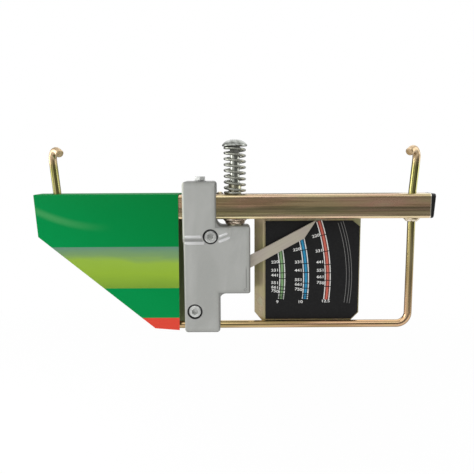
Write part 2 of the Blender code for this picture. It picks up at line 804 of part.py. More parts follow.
def body_outline():
    """The lower casting: the chamber round the plunger and the column down to the rod."""
    left = HOUSING_LEFT + GAP
    shoulder = BEAM_BOTTOM - GAP - CAST_WALL
    return rounded([
        (left, shoulder, 0),
        (BLOCK_RIGHT - CAST_WALL, shoulder, 0),
        (BLOCK_RIGHT, CHAMBER_TOP, 0),
        (CHAMBER_REACH, CHAMBER_TOP, CORNER),
        (CHAMBER_REACH, CHAMBER_BOTTOM, TIGHT_CORNER),
        (COLUMN_RIGHT, CHAMBER_BOTTOM, INNER_FILLET),
        (COLUMN_RIGHT, HOUSING_BOTTOM, CORNER),
        (left, HOUSING_BOTTOM, CORNER),
    ])


def block_outline(slope):
    """The prouder block round the beam and its tongue, with the lower edge raised by the slope."""
    shelf = BEAM_BOTTOM - BLOCK_SHELF + slope
    tip = -TONGUE_TIP - slope / 2
    fillet_foot = CHAMBER_TOP - GAP
    return rounded([
        (HOUSING_LEFT, BLOCK_TOP, CORNER),
        (BLOCK_RIGHT, BLOCK_TOP, CORNER),
        (BLOCK_RIGHT, fillet_foot, INNER_FILLET),
        (tip, fillet_foot, TIGHT_CORNER),
        (tip, shelf + TONGUE_RISE, TIGHT_CORNER),
        (UPPER_SCREW[0] + SCREW_HEAD / 2, shelf, CORNER),
        (HOUSING_LEFT, shelf, 0),
    ])


def slope_shelf(shape, middle, face, flat_outline, raised_outline):
    """Lean the outer part of the block back from the lower casting's surface to its own face."""
    geometry = shape.verts[:] + shape.edges[:] + shape.faces[:]
    bmesh.ops.bisect_plane(shape, geom=geometry, plane_co=(0, 0, middle), plane_no=(0, 0, 1))
    for vertex in shape.verts:
        if abs(vertex.co.z - face) < GAP:
            nearest = min(range(len(flat_outline)),
                          key=lambda index: (vertex.co.xy - Vector(flat_outline[index])).length)
            vertex.co.xy = raised_outline[nearest]


def cast_block(name, outline, outer, side, raised_outline=None):
    """A casting from the parting plane out to one side, with its outer rim rounded."""
    depths = sorted((side * GAP / 2, side * outer))
    block = upright(name, [outline], *depths)
    half = (depths[1] - depths[0]) / 2
    face = -side * half
    shape = bmesh.new()
    shape.from_mesh(block.data)
    bmesh.ops.dissolve_limit(shape, angle_limit=FLAT_ANGLE, verts=shape.verts, edges=shape.edges)
    if raised_outline:
        slope_shelf(shape, face + side * (outer - BODY_HALF + GAP), face, outline, raised_outline)
        shape.normal_update()
    rim = [edge for edge in shape.edges
           if all(abs(vertex.co.z - face) < GAP / 10 for vertex in edge.verts)
           and sum(abs(linked.normal.z) > 0.5 for linked in edge.link_faces) == 1]
    bmesh.ops.bevel(shape, geom=rim, offset=RIM_ROUND, segments=2, profile=0.5, affect="EDGES")
    shape.to_mesh(block.data)
    shape.free()
    return block


def chamber_outline():
    """The hollow round the nuts, the lever's eye and the sweep of the lever."""
    throat = NUT_ACROSS / 2 / math.cos(math.pi / 6) + THROAT_PLAY
    right = CHAMBER_REACH - CAST_WALL
    left = PIVOT_X - EYE_RADIUS - LEVER_CLEARANCE
    wide = PIVOT_Z + EYE_RADIUS + LEVER_CLEARANCE
    return rounded([
        (-throat, CHAMBER_TOP - CAST_WALL, RIM_ROUND),
        (right, CHAMBER_TOP - CAST_WALL, RIM_ROUND),
        (right, CHAMBER_FLOOR, RIM_ROUND),
        (left, CHAMBER_FLOOR, RIM_ROUND),
        (left, wide, RIM_ROUND),
        (-throat, wide + (-throat - left), RIM_ROUND),
    ])


def pocket_outline():
    """The hollow that keeps the left of the casting thin."""
    left = HOUSING_LEFT + POCKET_WALL
    right = PIVOT_X - EYE_RADIUS - LEVER_CLEARANCE - POCKET_WALL
    top = UPPER_SCREW[1] - SCREW_HEAD / 2 - POCKET_WALL
    return rounded([(left, top, CORNER), (right, top, CORNER), (right, CHAMBER_BOTTOM, CORNER),
                    (left, CHAMBER_BOTTOM, CORNER)])


SCREWS = (
    ("upper", UPPER_SCREW, BLOCK_HALF - UPPER_SCREW_SINK - SCREW_HEAD_RISE),
    ("lower", LOWER_SCREW, BODY_HALF - LOWER_SCREW_SINK - SCREW_HEAD_RISE),
)


def make_housing_half(name, side):
    half = cast_block(name, body_outline(), BODY_HALF, side)
    join(half, cast_block(name + " block", block_outline(0), BLOCK_HALF, side,
                          block_outline(SHELF_SLOPE)))
    if side < 0:
        boss_half = (CLAMP_BOSS_RISE + CAST_WALL) / 2
        join(half, cylinder(name + " clamp boss", CLAMP_BOSS, 2 * boss_half,
                            (CLAMP_X, -CLAMP_BACK, BLOCK_TOP + CLAMP_BOSS_RISE - boss_half), "Z"))

    def depths(inner, outer):
        return sorted((side * inner, side * outer))

    def slab(label, low_x, high_x, low_z, high_z, outer):
        low_y, high_y = depths(-OVERRUN, outer)
        return box(f"{name} {label}", (low_x, low_y, low_z), (high_x, high_y, high_z))

    cut(half, slab("beam channel", HOUSING_LEFT - OVERRUN, BLOCK_RIGHT + INNER_FILLET,
                   BEAM_BOTTOM - GAP, BEAM_TOP + GAP, BEAM_SIDE / 2 + GAP))
    cut(half, upright(name + " chamber", [chamber_outline()], *depths(-OVERRUN, CHAMBER_HALF)))
    cut(half, upright(name + " pocket", [pocket_outline()], *depths(-OVERRUN, CHAMBER_HALF)))
    cut(half, cylinder(name + " rod groove", ROD_RADIUS + GAP, 2 * (BLOCK_WIDTH + OVERRUN),
                       (HOUSING_LEFT, 0, ROD_Z), "X", sides=24))
    cut(half, cylinder(name + " bush hole", BUSH_BODY / 2 + GAP, 2 * CAST_WALL + 2 * OVERRUN,
                       (0, 0, CHAMBER_TOP - CAST_WALL / 2), "Z"))
    cut(half, slab("pointer slot", CHAMBER_REACH - CAST_WALL - OVERRUN, CHAMBER_REACH + OVERRUN,
                   PIVOT_Z - LEVER_DROOP - GAP, PIVOT_Z + LEVER_RISE + GAP,
                   LEVER_THICK / 2 + FORK_SLOT_PLAY))
    hub_end = HUB_LENGTH / 2 + GAP
    boss_length = CHAMBER_HALF + CAST_WALL / 2 - hub_end
    join(half, cylinder(name + " pivot boss", PIVOT_BOSS, boss_length,
                        (PIVOT_X, side * (hub_end + boss_length / 2), PIVOT_Z), "Y"))
    cut(half, cylinder(name + " pin hole", PIVOT_PIN / 2 + GAP, 2 * (CHAMBER_HALF + PIN_SEAT),
                       (PIVOT_X, 0, PIVOT_Z), "Y", sides=24))
    for label, (x, z), seat in SCREWS:
        cut(half, cylinder(f"{name} {label} screw hole", SCREW_THREAD / 2 + GAP,
                           2 * (BLOCK_HALF + OVERRUN), (x, 0, z), "Y", sides=24))
        if side < 0:
            length = BLOCK_HALF + OVERRUN - seat
            cut(half, cylinder(f"{name} {label} counterbore", SCREW_HEAD / 2 + COUNTERBORE_PLAY, length,
                               (x, side * (seat + length / 2), z), "Y", sides=36))
    if side < 0:
        top = BLOCK_TOP + CLAMP_BOSS_RISE + OVERRUN
        cut(half, cylinder(name + " clamp hole", CLAMP_THREAD / 2 + GAP, top - BEAM_TOP,
                           (CLAMP_X, -CLAMP_BACK, (top + BEAM_TOP) / 2), "Z", sides=20))
    smooth(half)
    return finish(half, "cast alloy")


def hexagon_cutter(name, across, depth, centre, axis):
    """A six sided bar for a socket, sized across its flats."""
    return cylinder(name, across / 2 / math.cos(math.pi / 6), depth, centre, axis, sides=6)


def make_housing_screw(label, place, seat):
    """A socket cap screw whose head bears on the counterbore's floor."""
    x, z = place
    under = seat + GAP
    head = SCREW_HEAD / 2
    thread = SCREW_THREAD / 2
    edge = SCREW_HEAD_RISE / 10
    top = under + SCREW_HEAD_RISE
    tip = under - SCREW_SHANK
    profile = [(0, top), (head - edge, top), (head, top - edge), (head, under), (thread, under),
               (thread, tip + edge), (thread - edge, tip), (0, tip)]
    screw = turned("housing_screw_" + label, profile, steps=28)
    screw.location = (x, 0, z)
    screw.rotation_euler = AXIS_TURNS["Y"]
    cut(screw, hexagon_cutter(label + " socket", SCREW_SOCKET, 2 * SOCKET_DEPTH, (x, -top, z), "Y"))
    return finish(screw, "bright zinc")


def make_clamp_bolt():
    """The hexagon bolt that presses down on the beam and keeps the housing from sliding."""
    seat = BLOCK_TOP + CLAMP_BOSS_RISE + GAP
    tip = BEAM_TOP + GAP
    place = (CLAMP_X, -CLAMP_BACK, seat + CLAMP_HEAD_RISE / 2)
    bolt = hexagon_cutter("clamp_bolt", CLAMP_HEAD, CLAMP_HEAD_RISE, place, "Z")
    length = seat - tip + CLAMP_HEAD_RISE / 2
    shank = cylinder("clamp shank", CLAMP_THREAD / 2, length, (CLAMP_X, -CLAMP_BACK, tip + length / 2),
                     "Z", sides=20)
    join(bolt, shank)
    smooth(bolt)
    return finish(bolt, "bright zinc")


# Dial plate, printed face and card sleeve

def flat_sheet(name, left, right, bottom, top, depth):
    """A plain open sheet that faces the scales' side."""
    bpy.ops.mesh.primitive_plane_add(size=1, location=((left + right) / 2, depth, (bottom + top) / 2),
                                     rotation=AXIS_TURNS["Y"])
    sheet = bpy.context.object
    sheet.name = name
    sheet.scale = (right - left, top - bottom, 1)
    bpy.ops.object.transform_apply(location=True, rotation=True, scale=True)
    put_in(GAUGE, sheet)
    return sheet


def trim(shape, place, direction):
    """Cut off what lies beyond a line drawn in X and Z."""
    geometry = shape.verts[:] + shape.edges[:] + shape.faces[:]
    bmesh.ops.bisect_plane(shape, geom=geometry, plane_co=(place[0], 0, place[1]),
                           plane_no=(direction[0], 0, direction[1]), clear_outer=True)


def thicken(sheet, thickness):
    solid = sheet.modifiers.new("thickness", "SOLIDIFY")
    solid.thickness = thickness
    solid.offset = -1


def make_dial_plate():
    """A steel sheet with chamfered feet and its left edge bent back."""
    plate = flat_sheet("dial_plate", PLATE_LEFT, PLATE_RIGHT, ROD_Z, PLATE_TOP, PLATE_FRONT)
    shape = bmesh.new()
    shape.from_mesh(plate.data)
    trim(shape, (PLATE_LEFT + PLATE_CHAMFER, ROD_Z), (-1, -1))
    trim(shape, (PLATE_RIGHT - PLATE_CHAMFER, ROD_Z), (1, -1))
    folds = 3
    for fold in range(folds):
        hinge = PLATE_LEFT + FLANGE_WIDTH - fold * FLANGE_BEND
        geometry = shape.verts[:] + shape.edges[:] + shape.faces[:]
        bmesh.ops.bisect_plane(shape, geom=geometry, plane_co=(hinge, 0, 0), plane_no=(1, 0, 0))
    for fold in range(folds):
        hinge = PLATE_LEFT + FLANGE_WIDTH - fold * FLANGE_BEND
        flange = [vertex for vertex in shape.verts if vertex.co.x < hinge - GAP / 3]
        pivot = min((vertex.co for vertex in shape.verts if abs(vertex.co.x - hinge) < GAP),
                    key=lambda place: place.z).copy()
        bmesh.ops.rotate(shape, verts=flange, cent=pivot,
                         matrix=Matrix.Rotation(-FLANGE_ANGLE / folds, 3, "Z"))
    shape.to_mesh(plate.data)
    shape.free()
    thicken(plate, PLATE_THICK)
    return finish(plate, "plate steel")


def make_dial_face():
    """The printed sheet on the plate: scales in front, its corners following the plate."""
    left = PLATE_LEFT + FLANGE_WIDTH + FACE_MARGIN / 2
    right = PLATE_RIGHT - FACE_MARGIN
    top = PLATE_TOP - FACE_TOP_MARGIN
    bottom = ROD_Z + ROD_RADIUS + GAP
    face = flat_sheet("dial_face", left, right, bottom, top, PLATE_FRONT - GAP - FACE_THICK)
    shape = bmesh.new()
    shape.from_mesh(face.data)
    trim(shape, (PLATE_RIGHT - PLATE_CHAMFER - FACE_MARGIN * math.sqrt(2), ROD_Z), (1, -1))
    trim(shape, (right - FACE_CUT_ACROSS, top), (FACE_CUT_DOWN, FACE_CUT_ACROSS))
    shape.to_mesh(face.data)
    shape.free()
    thicken(face, FACE_THICK)
    return finish(face, "black print")


def make_card():
    """A printed card folded over the beam, cut on the slope below it."""
    left = -BEAM_HALF - CARD_OVERHANG
    right = HOUSING_LEFT - CARD_HOUSING_GAP
    bottom = ROD_Z - CARD_BOTTOM_RISE
    outline = [(left, CARD_TOP), (left + CARD_LEAN, BEAM_BOTTOM - CARD_SIDE_DROP),
               (right - CARD_FOOT_RIGHT, bottom + CARD_FOOT_RISE), (right - CARD_LEAN / 2, bottom),
               (right, CARD_TOP)]
    outer = CARD_INSIDE + CARD_THICK
    card = upright("card_sleeve", [outline], -outer, outer)
    shape = bmesh.new()
    shape.from_mesh(card.data)
    bmesh.ops.dissolve_limit(shape, angle_limit=FLAT_ANGLE, verts=shape.verts, edges=shape.edges)
    folds = [edge for edge in shape.edges if edge.calc_length() > outer * 3
             and all(abs(vertex.co.y - CARD_TOP) < GAP for vertex in edge.verts)]
    bmesh.ops.bevel(shape, geom=folds, offset=CARD_FOLD, segments=2, profile=0.5, affect="EDGES")
    for vertex in shape.verts:
        if vertex.co.x > right - CARD_LEAN:
            vertex.co.x -= CARD_SKEW * vertex.co.z / outer
    shape.to_mesh(card.data)
    shape.free()
    cut(card, box("card inside", (left - OVERRUN, -CARD_INSIDE, bottom - OVERRUN),
                  (right + OVERRUN, CARD_INSIDE, BEAM_TOP + GAP)))
    cut(card, cylinder("card rod hole", ROD_RADIUS + CARD_ROD_PLAY, 2 * OVERRUN, (-LEG_X, 0, CARD_TOP),
                       "Z", sides=24))
    return finish(card, "green card")


def build():
    make_beam()
    make_end_cap("end_cap_left", -1)
    make_end_cap("end_cap_right", 1)
    make_rod()
    make_rod_weld("rod_weld_left", -LEG_X)
    make_rod_weld("rod_weld_right", LEG_X)
    make_bush()
    make_bush_weld()
    make_beads()
    make_housing_half("housing_front", -1)
    make_housing_half("housing_rear", 1)
    for label, place, seat in SCREWS:
        make_housing_screw(label, place, seat)
    make_clamp_bolt()
    make_pivot_pin()
    make_dial_plate()
    make_dial_face()
    make_card()
    plunger = [make_bolt(), make_cross_pin(), make_spring(), make_nut("stop_nut", NUT_HEIGHT, NUT_TOP),
               make_nut("lock_nut", LOCK_NUT_HEIGHT, LOCK_NUT_TOP)]
    hang_on(empty_at("plunger axis", (0, 0, HEAD_UNDER)), *plunger)
    hang_on(empty_at("pointer axis", (PIVOT_X, 0, PIVOT_Z)), make_pointer(), make_hub())


build()
print(f"plunger travel {1000 * TRAVEL:.2f} mm, pivot at {1000 * PIVOT_X:.2f}, {1000 * PIVOT_Z:.2f} mm, "
      f"turn per travel {TURN_PER_TRAVEL:.2f} rad/m")
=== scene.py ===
"""The finished look of a dial tension gauge for fence wire, dressed over its CAD model."""

import math
from collections import namedtuple

import bpy
from mathutils import Matrix, Vector


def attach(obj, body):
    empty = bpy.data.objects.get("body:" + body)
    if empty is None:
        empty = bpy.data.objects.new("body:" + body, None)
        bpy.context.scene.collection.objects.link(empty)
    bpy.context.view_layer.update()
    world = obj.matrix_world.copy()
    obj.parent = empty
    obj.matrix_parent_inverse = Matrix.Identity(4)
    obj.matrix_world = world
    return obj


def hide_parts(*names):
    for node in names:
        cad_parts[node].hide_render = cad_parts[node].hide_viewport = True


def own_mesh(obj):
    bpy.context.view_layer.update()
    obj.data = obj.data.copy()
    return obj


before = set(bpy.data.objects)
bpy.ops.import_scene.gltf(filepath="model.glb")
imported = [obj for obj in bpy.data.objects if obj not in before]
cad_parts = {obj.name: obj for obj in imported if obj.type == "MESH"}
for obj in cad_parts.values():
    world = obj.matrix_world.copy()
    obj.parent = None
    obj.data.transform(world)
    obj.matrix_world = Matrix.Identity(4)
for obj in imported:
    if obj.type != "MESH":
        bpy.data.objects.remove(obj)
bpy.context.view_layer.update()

MM = 0.001

# Places and sizes of the CAD model that the dressing follows
BEAM_TOP = -40.5 * MM
BEAM_SIDE = 25 * MM
BEAM_FOOT = BEAM_TOP - BEAM_SIDE
BEAM_END = 198.5 * MM
ROD_RADIUS = 4 * MM
LEG_PLACE = 183 * MM
HEAD_UNDERSIDE = 8 * MM
LABEL_FRONT = 3.6 * MM


# Camera

CAMERA_PLACE = (1.9 * MM, -537 * MM, -10.7 * MM)
CAMERA_TILT = math.radians(82.1)
CAMERA_ROLL = math.radians(-0.33)


def add_object(name, data):
    thing = bpy.data.objects.new(name, data)
    bpy.context.scene.collection.objects.link(thing)
    return thing


def set_camera():
    camera = add_object("camera", bpy.data.cameras.new("camera"))
    camera.data.sensor_width = 36
    camera.data.lens = 39.49
    camera.data.clip_start = 10 * MM
    camera.matrix_world = (Matrix.Translation(CAMERA_PLACE) @ Matrix.Rotation(CAMERA_TILT, 4, "X")
                           @ Matrix.Rotation(CAMERA_ROLL, 4, "Z"))
    bpy.context.scene.camera = camera
    bpy.context.scene.view_settings.view_transform = "Standard"


# Ways of working on a piece

def pick_only(piece):
    bpy.ops.object.select_all(action="DESELECT")
    piece.select_set(True)
    bpy.context.view_layer.objects.active = piece


def edit(piece, select="SELECT"):
    """Opens a piece for editing, with everything picked or nothing."""
    pick_only(piece)
    bpy.ops.object.mode_set(mode="EDIT")
    bpy.ops.mesh.select_all(action=select)


def done_editing():
    bpy.ops.object.mode_set(mode="OBJECT")


def smooth(piece, sharp=30):
    pick_only(piece)
    bpy.ops.object.shade_smooth_by_angle(angle=math.radians(sharp))


def settle(piece, sharp=30):
    """Closes the piece's seams, turns its faces out and smooths it."""
    edit(piece)
    bpy.ops.mesh.remove_doubles(threshold=0.001 * MM)
    bpy.ops.mesh.normals_make_consistent(inside=False)
    done_editing()
    smooth(piece, sharp)
    return piece


def apply_modifier(piece, kind, **settings):
    pick_only(piece)
    bpy.ops.object.modifier_add(type=kind)
    modifier = piece.modifiers[-1]
    for setting, value in settings.items():
        setattr(modifier, setting, value)
    bpy.ops.object.modifier_apply(modifier=modifier.name)


def hand_over(piece, name, finish, slot, body, *nodes):
    """Names a finished piece, gives it its finish, attaches it to the body it rides on and hides the CAD
    parts it stands for.
    """
    piece.name = name
    piece.data.name = name
    piece.data.materials.clear()
    piece.data.materials.append(finish)
    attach(piece, body)
    if nodes:
        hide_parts(*nodes)


def copy_of(node):
    """A copy of a CAD solid with its loose triangles joined up into clean faces."""
    piece = add_object(node + "_copy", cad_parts[node].data.copy())
    pick_only(piece)
    if piece.data.has_custom_normals:
        bpy.ops.mesh.customdata_custom_splitnormals_clear()
    edit(piece)
    bpy.ops.mesh.remove_doubles(threshold=0.002 * MM)
    bpy.ops.mesh.dissolve_limited(angle_limit=math.radians(0.3))
    done_editing()
    return piece


def smooth_solid(piece):
    """Smooths a CAD solid where it is round and keeps its flat faces flat."""
    smooth(piece)
    apply_modifier(piece, "WEIGHTED_NORMAL", keep_sharp=True)


def dress(node, finish, slot, body, edge=0.0):
    """The CAD solid again, smooth where it is round, with its sharp edges broken by a small width."""
    piece = copy_of(node)
    if edge:
        apply_modifier(piece, "BEVEL", width=edge, segments=2, limit_method="ANGLE",
                       angle_limit=math.radians(40), use_clamp_overlap=True)
    smooth_solid(piece)
    hand_over(piece, node + "_finished", finish, slot, body, node)


def facing(direction):
    return direction.to_track_quat("Z", "Y").to_euler()


def start_disc(place, rotation, radius, sides):
    """A flat disc, left open for editing and picked, for draw_out to draw a round piece from."""
    bpy.ops.mesh.primitive_circle_add(vertices=sides, radius=radius, fill_type="NGON", location=place,
                                      rotation=rotation)
    disc = bpy.context.object
    bpy.ops.object.transform_apply(location=True, rotation=True)
    edit(disc)
    return disc


def draw_out(step, grow, centre):
    """Draws the picked face out by a step and resizes it about its new centre."""
    bpy.ops.mesh.extrude_region_move(TRANSFORM_OT_translate={"value": step})
    if grow != 1.0:
        bpy.ops.transform.resize(value=(grow, grow, grow), center_override=centre)


# Ways of working on a finish

def connect(finish, node, inputs):
    """Sets a node's inputs from numbers, colours or other nodes' sockets."""
    for socket, value in inputs.items():
        if isinstance(value, bpy.types.NodeSocket):
            finish.node_tree.links.new(value, node.inputs[socket])
        else:
            node.inputs[socket].default_value = value


def feed(finish, **inputs):
    """Sets the shader's own inputs, whose names are given with _ for a space."""
    shader = finish.node_tree.nodes["Principled BSDF"]
    connect(finish, shader, {socket.replace("_", " "): value for socket, value in inputs.items()})


def new_finish(name, **values):
    finish = bpy.data.materials.new(name)
    finish.use_nodes = True
    feed(finish, **values)
    return finish


def add_node(finish, kind, inputs, **settings):
    node = finish.node_tree.nodes.new("ShaderNode" + kind)
    for setting, value in settings.items():
        setattr(node, setting, value)
    connect(finish, node, inputs)
    return node


def object_place(finish):
    return add_node(finish, "TexCoord", {}).outputs["Object"]


def attribute(finish, name, output):
    return add_node(finish, "Attribute", {}, attribute_name=name).outputs[output]


def split(finish, place):
    """The three parts of a place: across to the right, through to the back, and height."""
    return add_node(finish, "SeparateXYZ", {"Vector": place}).outputs[:]


def stretch_along(axis, amount):
    """Scales a pattern along one axis only: a small amount draws it out."""
    return tuple(amount if part == axis else 1.0 for part in "XYZ")


def cloud(finish, place, scale, stretch=(1, 1, 1), detail=3.0, roughness=0.5, distortion=0.0):
    """A soft random pattern, so many patches to a metre, drawn out where stretch is small."""
    drawn = add_node(finish, "Mapping", {"Vector": place, "Scale": stretch}).outputs[0]
    return add_node(finish, "TexNoise", {"Vector": drawn, "Scale": scale, "Detail": detail,
                                         "Roughness": roughness, "Distortion": distortion}).outputs["Fac"]


def shades(finish, factor, *stops):
    """Colours laid along a pattern: each stop is a position and a colour."""
    ramp = add_node(finish, "ValToRGB", {"Fac": factor})
    elements = ramp.color_ramp.elements
    while len(elements) < len(stops):
        elements.new(0.5)
    for element, (position, colour) in zip(elements, stops):
        element.position = position
        element.color = (*colour, 1)
    return ramp.outputs["Color"]


def blend(finish, factor, one, other, how="MIX"):
    colours = {index: value if isinstance(value, bpy.types.NodeSocket) else (*value, 1)
               for index, value in ((6, one), (7, other))}
    return add_node(finish, "Mix", {0: factor, **colours}, data_type="RGBA", blend_type=how).outputs[2]


def span(finish, value, low, high, to_low=0.0, to_high=1.0, smooth_ends=False):
    """Reads a pattern or a place over a range as another range."""
    return add_node(finish, "MapRange", {"Value": value, "From Min": low, "From Max": high,
                                         "To Min": to_low, "To Max": to_high},
                    interpolation_type="SMOOTHSTEP" if smooth_ends else "LINEAR").outputs["Result"]


def calc(finish, how, *values):
    """One operation worked through the values from the left. ABSOLUTE takes a single value."""
    result = values[0]
    for value in values[1:] or (0.0,):
        result = add_node(finish, "Math", {0: result, 1: value}, operation=how).outputs[0]
    return result


def off_by(finish, value, centre):
    """How far a value lies from a centre, on either side."""
    return calc(finish, "ABSOLUTE", calc(finish, "SUBTRACT", value, centre))


def between(finish, value, rise, full, still_full, fall, smooth_ends=False):
    """1 where a value lies between two soft edges, 0 outside them."""
    return calc(finish, "MULTIPLY", span(finish, value, rise, full, 0.0, 1.0, smooth_ends),
                span(finish, value, still_full, fall, 1.0, 0.0, smooth_ends))


def below(finish, value, level, soft=0.1 * MM):
    """1 under a level and 0 over it, with a crisp edge."""
    return span(finish, value, level - soft, level + soft, 1.0, 0.0)


def waver(finish, value, pattern, amount):
    """Shifts a value back and forth by a pattern."""
    shift = calc(finish, "MULTIPLY", calc(finish, "SUBTRACT", pattern, 0.5), amount)
    return calc(finish, "ADD", value, shift)


def bumps(finish, height, strength, distance):
    return add_node(finish, "Bump", {"Height": height, "Strength": strength,
                                     "Distance": distance}).outputs["Normal"]


# Yellow zinc

def yellow_zinc(name, run, tints, grain, drawn_out=0.22, shine=1.0, place_from=object_place, wear=None):
    """Yellow passivated zinc plate with olive and rosy patches and marks drawn out along the steel.

    run is the axis that the marks follow, grain is how strongly they show, and drawn_out is how round the
    patches stay. wear adds what only one piece shows: painted reflections and shade on the beam, painted
    reflection lines and real wear on the rod.
    """
    finish = new_finish(name, Metallic=shine)
    place = place_from(finish)
    patches = cloud(finish, place, 40, stretch_along(run, drawn_out), 3, 0.55, 0.5)
    lines = cloud(finish, place, 520, stretch_along(run, 0.02), 2)
    streaks = cloud(finish, place, 230, stretch_along(run, 0.02), 2)
    colour = shades(finish, patches, *zip((0.3, 0.45, 0.58, 0.74), tints))
    colour = blend(finish, span(finish, lines, 0.42, 0.54, 0.75 * grain, 0.0), colour, (0.22, 0.17, 0.05))
    colour = blend(finish, span(finish, streaks, 0.54, 0.66, 0.0, 0.5 * grain), colour, (0.78, 0.7, 0.44))
    rough = span(finish, patches, 0.3, 0.7, 0.2, 0.3)
    if wear:
        colour, rough = wear(finish, place, lines, colour, rough)
    feed(finish, Base_Color=colour, Roughness=rough, Normal=bumps(finish, lines, 0.05, 0.2 * MM))
    return finish


# Painted reflections and shade on the tube's front and back, from its foot at 0 to its top at 1
BEAM_REFLECTION_BANDS = ((0.16, (1, 1, 1)), (0.25, (0.95, 0.98, 0.88)), (0.29, (0.6, 0.6, 0.55)),
              (0.34, (0.8, 0.8, 0.75)), (0.4, (0.5, 0.5, 0.46)), (0.47, (0.6, 0.6, 0.55)),
              (0.54, (0.97, 0.87, 0.8)), (0.8, (1, 0.94, 0.88)), (0.87, (0.75, 0.74, 0.66)),
              (0.93, (1, 1, 1)))


def beam_painted_light_and_cut_ends(finish, place, lines, colour, rough):
    """Painted reflections and shade in bands along the tube's walls, painted shade along its top, and pale
    cut ends.
    """
    across, through, height = split(finish, place)
    wall = BEAM_SIDE / 2
    on_wall = span(finish, calc(finish, "ABSOLUTE", through), wall - 0.4 * MM, wall)
    # Painted reflections and shade: bands by height along the tube's walls
    level = span(finish, waver(finish, height, lines, 8 * MM), BEAM_FOOT, BEAM_TOP)
    colour = blend(finish, on_wall, colour, shades(finish, level, *BEAM_REFLECTION_BANDS), "MULTIPLY")
    # Painted shade along the tube's top
    painted_top_shade = span(finish, height, BEAM_TOP - 2.9 * MM, BEAM_TOP - 1.5 * MM)
    colour = blend(finish, painted_top_shade, colour, (0.76, 0.76, 0.76), "MULTIPLY")
    cut_end = span(finish, calc(finish, "ABSOLUTE", across), BEAM_END - 1.1 * MM, BEAM_END - 0.7 * MM,
                   0.0, 0.7)
    return blend(finish, cut_end, colour, (0.9, 0.88, 0.76)), rough


# Painted dark reflection lines along the rod: each one's place sideways and its depth
ROD_REFLECTION_LINES = ((2.6 * MM, 0.5), (-2.5 * MM, 0.42))


def rod_painted_lines_and_wear(finish, place, lines, colour, rough):
    """Painted dark reflection lines along the rod, a coppery stretch at the loop's lower right, and olive
    ends with dull tips.
    """
    off_middle = split(finish, place)[1]
    # Painted reflections: dark lines along the rod on either side of its middle
    for side, depth in ROD_REFLECTION_LINES:
        drawn = span(finish, off_by(finish, off_middle, side), 0.3 * MM, 0.7 * MM, depth, 0.0)
        colour = blend(finish, drawn, colour, (0.12, 0.1, 0.03))

    across, _, height = split(finish, object_place(finish))
    coppery = calc(finish, "MULTIPLY", span(finish, across, 50 * MM, 170 * MM, 0.0, 0.34),
                   span(finish, height, -135 * MM, -100 * MM, 1.0, 0.0, smooth_ends=True))
    copper = shades(finish, lines, (0.42, (0.3, 0.14, 0.05)), (0.55, (0.66, 0.42, 0.25)))
    colour = blend(finish, coppery, colour, copper)

    to_end = attribute(finish, "rod_end", "Fac")
    olive = shades(finish, lines, (0.4, (0.026, 0.036, 0.003)), (0.49, (0.108, 0.119, 0.022)),
                   (0.56, (0.2, 0.207, 0.055)), (0.64, (0.35, 0.355, 0.135)))
    near_end = span(finish, to_end, 70 * MM, 130 * MM, 0.85, 0.0, smooth_ends=True)
    colour = blend(finish, near_end, colour, olive)
    dull = span(finish, to_end, 20 * MM, 34 * MM, 0.9, 0.0, smooth_ends=True)
    scuffs = cloud(finish, place, 330, detail=3, roughness=0.6)
    tip = shades(finish, scuffs, (0.35, (0.38, 0.27, 0.15)), (0.65, (0.62, 0.46, 0.3)))
    rough = calc(finish, "ADD", calc(finish, "MULTIPLY", rough, 0.55), calc(finish, "MULTIPLY", dull, 0.3))
    return blend(finish, dull, colour, tip), rough


def run_of_rod(finish):
    return attribute(finish, "rod_run", "Vector")


# Other metals

def bright_zinc(name, shine, *greys):
    """Clear zinc plate, a little cloudy, with darker marks where it has been handled."""
    finish = new_finish(name, Metallic=shine)
    mist = cloud(finish, object_place(finish), 260, detail=4, roughness=0.6)
    feed(finish, Base_Color=shades(finish, mist, *zip((0.3, 0.52, 0.7), greys)),
         Roughness=span(finish, mist, 0.3, 0.7, 0.3, 0.17), Normal=bumps(finish, mist, 0.06, 0.2 * MM))
    return finish


# Where the screws and the pivot pin come through the casting: across and height
SCREW_PLACES = ((-25.1 * MM, -82.9 * MM), (-42.2 * MM, -161.7 * MM))
PIN_PLACE = (10.05 * MM, -138.6 * MM)

# The casting's outline as overlapping blocks: each one's right edge, foot and top
CASTING_PARTS = ((-19.1 * MM, -184.3 * MM, -27.1 * MM), (-16.1 * MM, -184.3 * MM, -80 * MM),
                 (15.5 * MM, -142.9 * MM, -72.4 * MM))

# Shade on the casting from its outline at 0 to 5 mm inwards at 1
CASTING_RIM = ((0.0, (0.64, 0.64, 0.64)), (0.06, (0.5, 0.5, 0.49)), (0.2, (0.56, 0.56, 0.55)),
               (0.34, (0.86, 0.86, 0.85)), (0.6, (0.93, 0.93, 0.92)), (1.0, (1, 1, 1)))


def ring_round(finish, place, centre, *reach):
    """1 on a ring about an axis through the casting from front to back, 0 off it."""
    x, z = centre
    flat = add_node(finish, "VectorMath", {0: place, 1: (1, 0, 1)}, operation="MULTIPLY").outputs[0]
    away = add_node(finish, "VectorMath", {0: flat, 1: (x, 0, z)}, operation="DISTANCE").outputs["Value"]
    return between(finish, away, *(distance * MM for distance in reach))


def depth_in_casting(finish, across, height):
    """How far inside the outline of the casting a place lies."""
    depths = [calc(finish, "MINIMUM", calc(finish, "SUBTRACT", right, across),
                   calc(finish, "SUBTRACT", height, foot), calc(finish, "SUBTRACT", top, height))
              for right, foot, top in CASTING_PARTS]
    return calc(finish, "MAXIMUM", *depths)


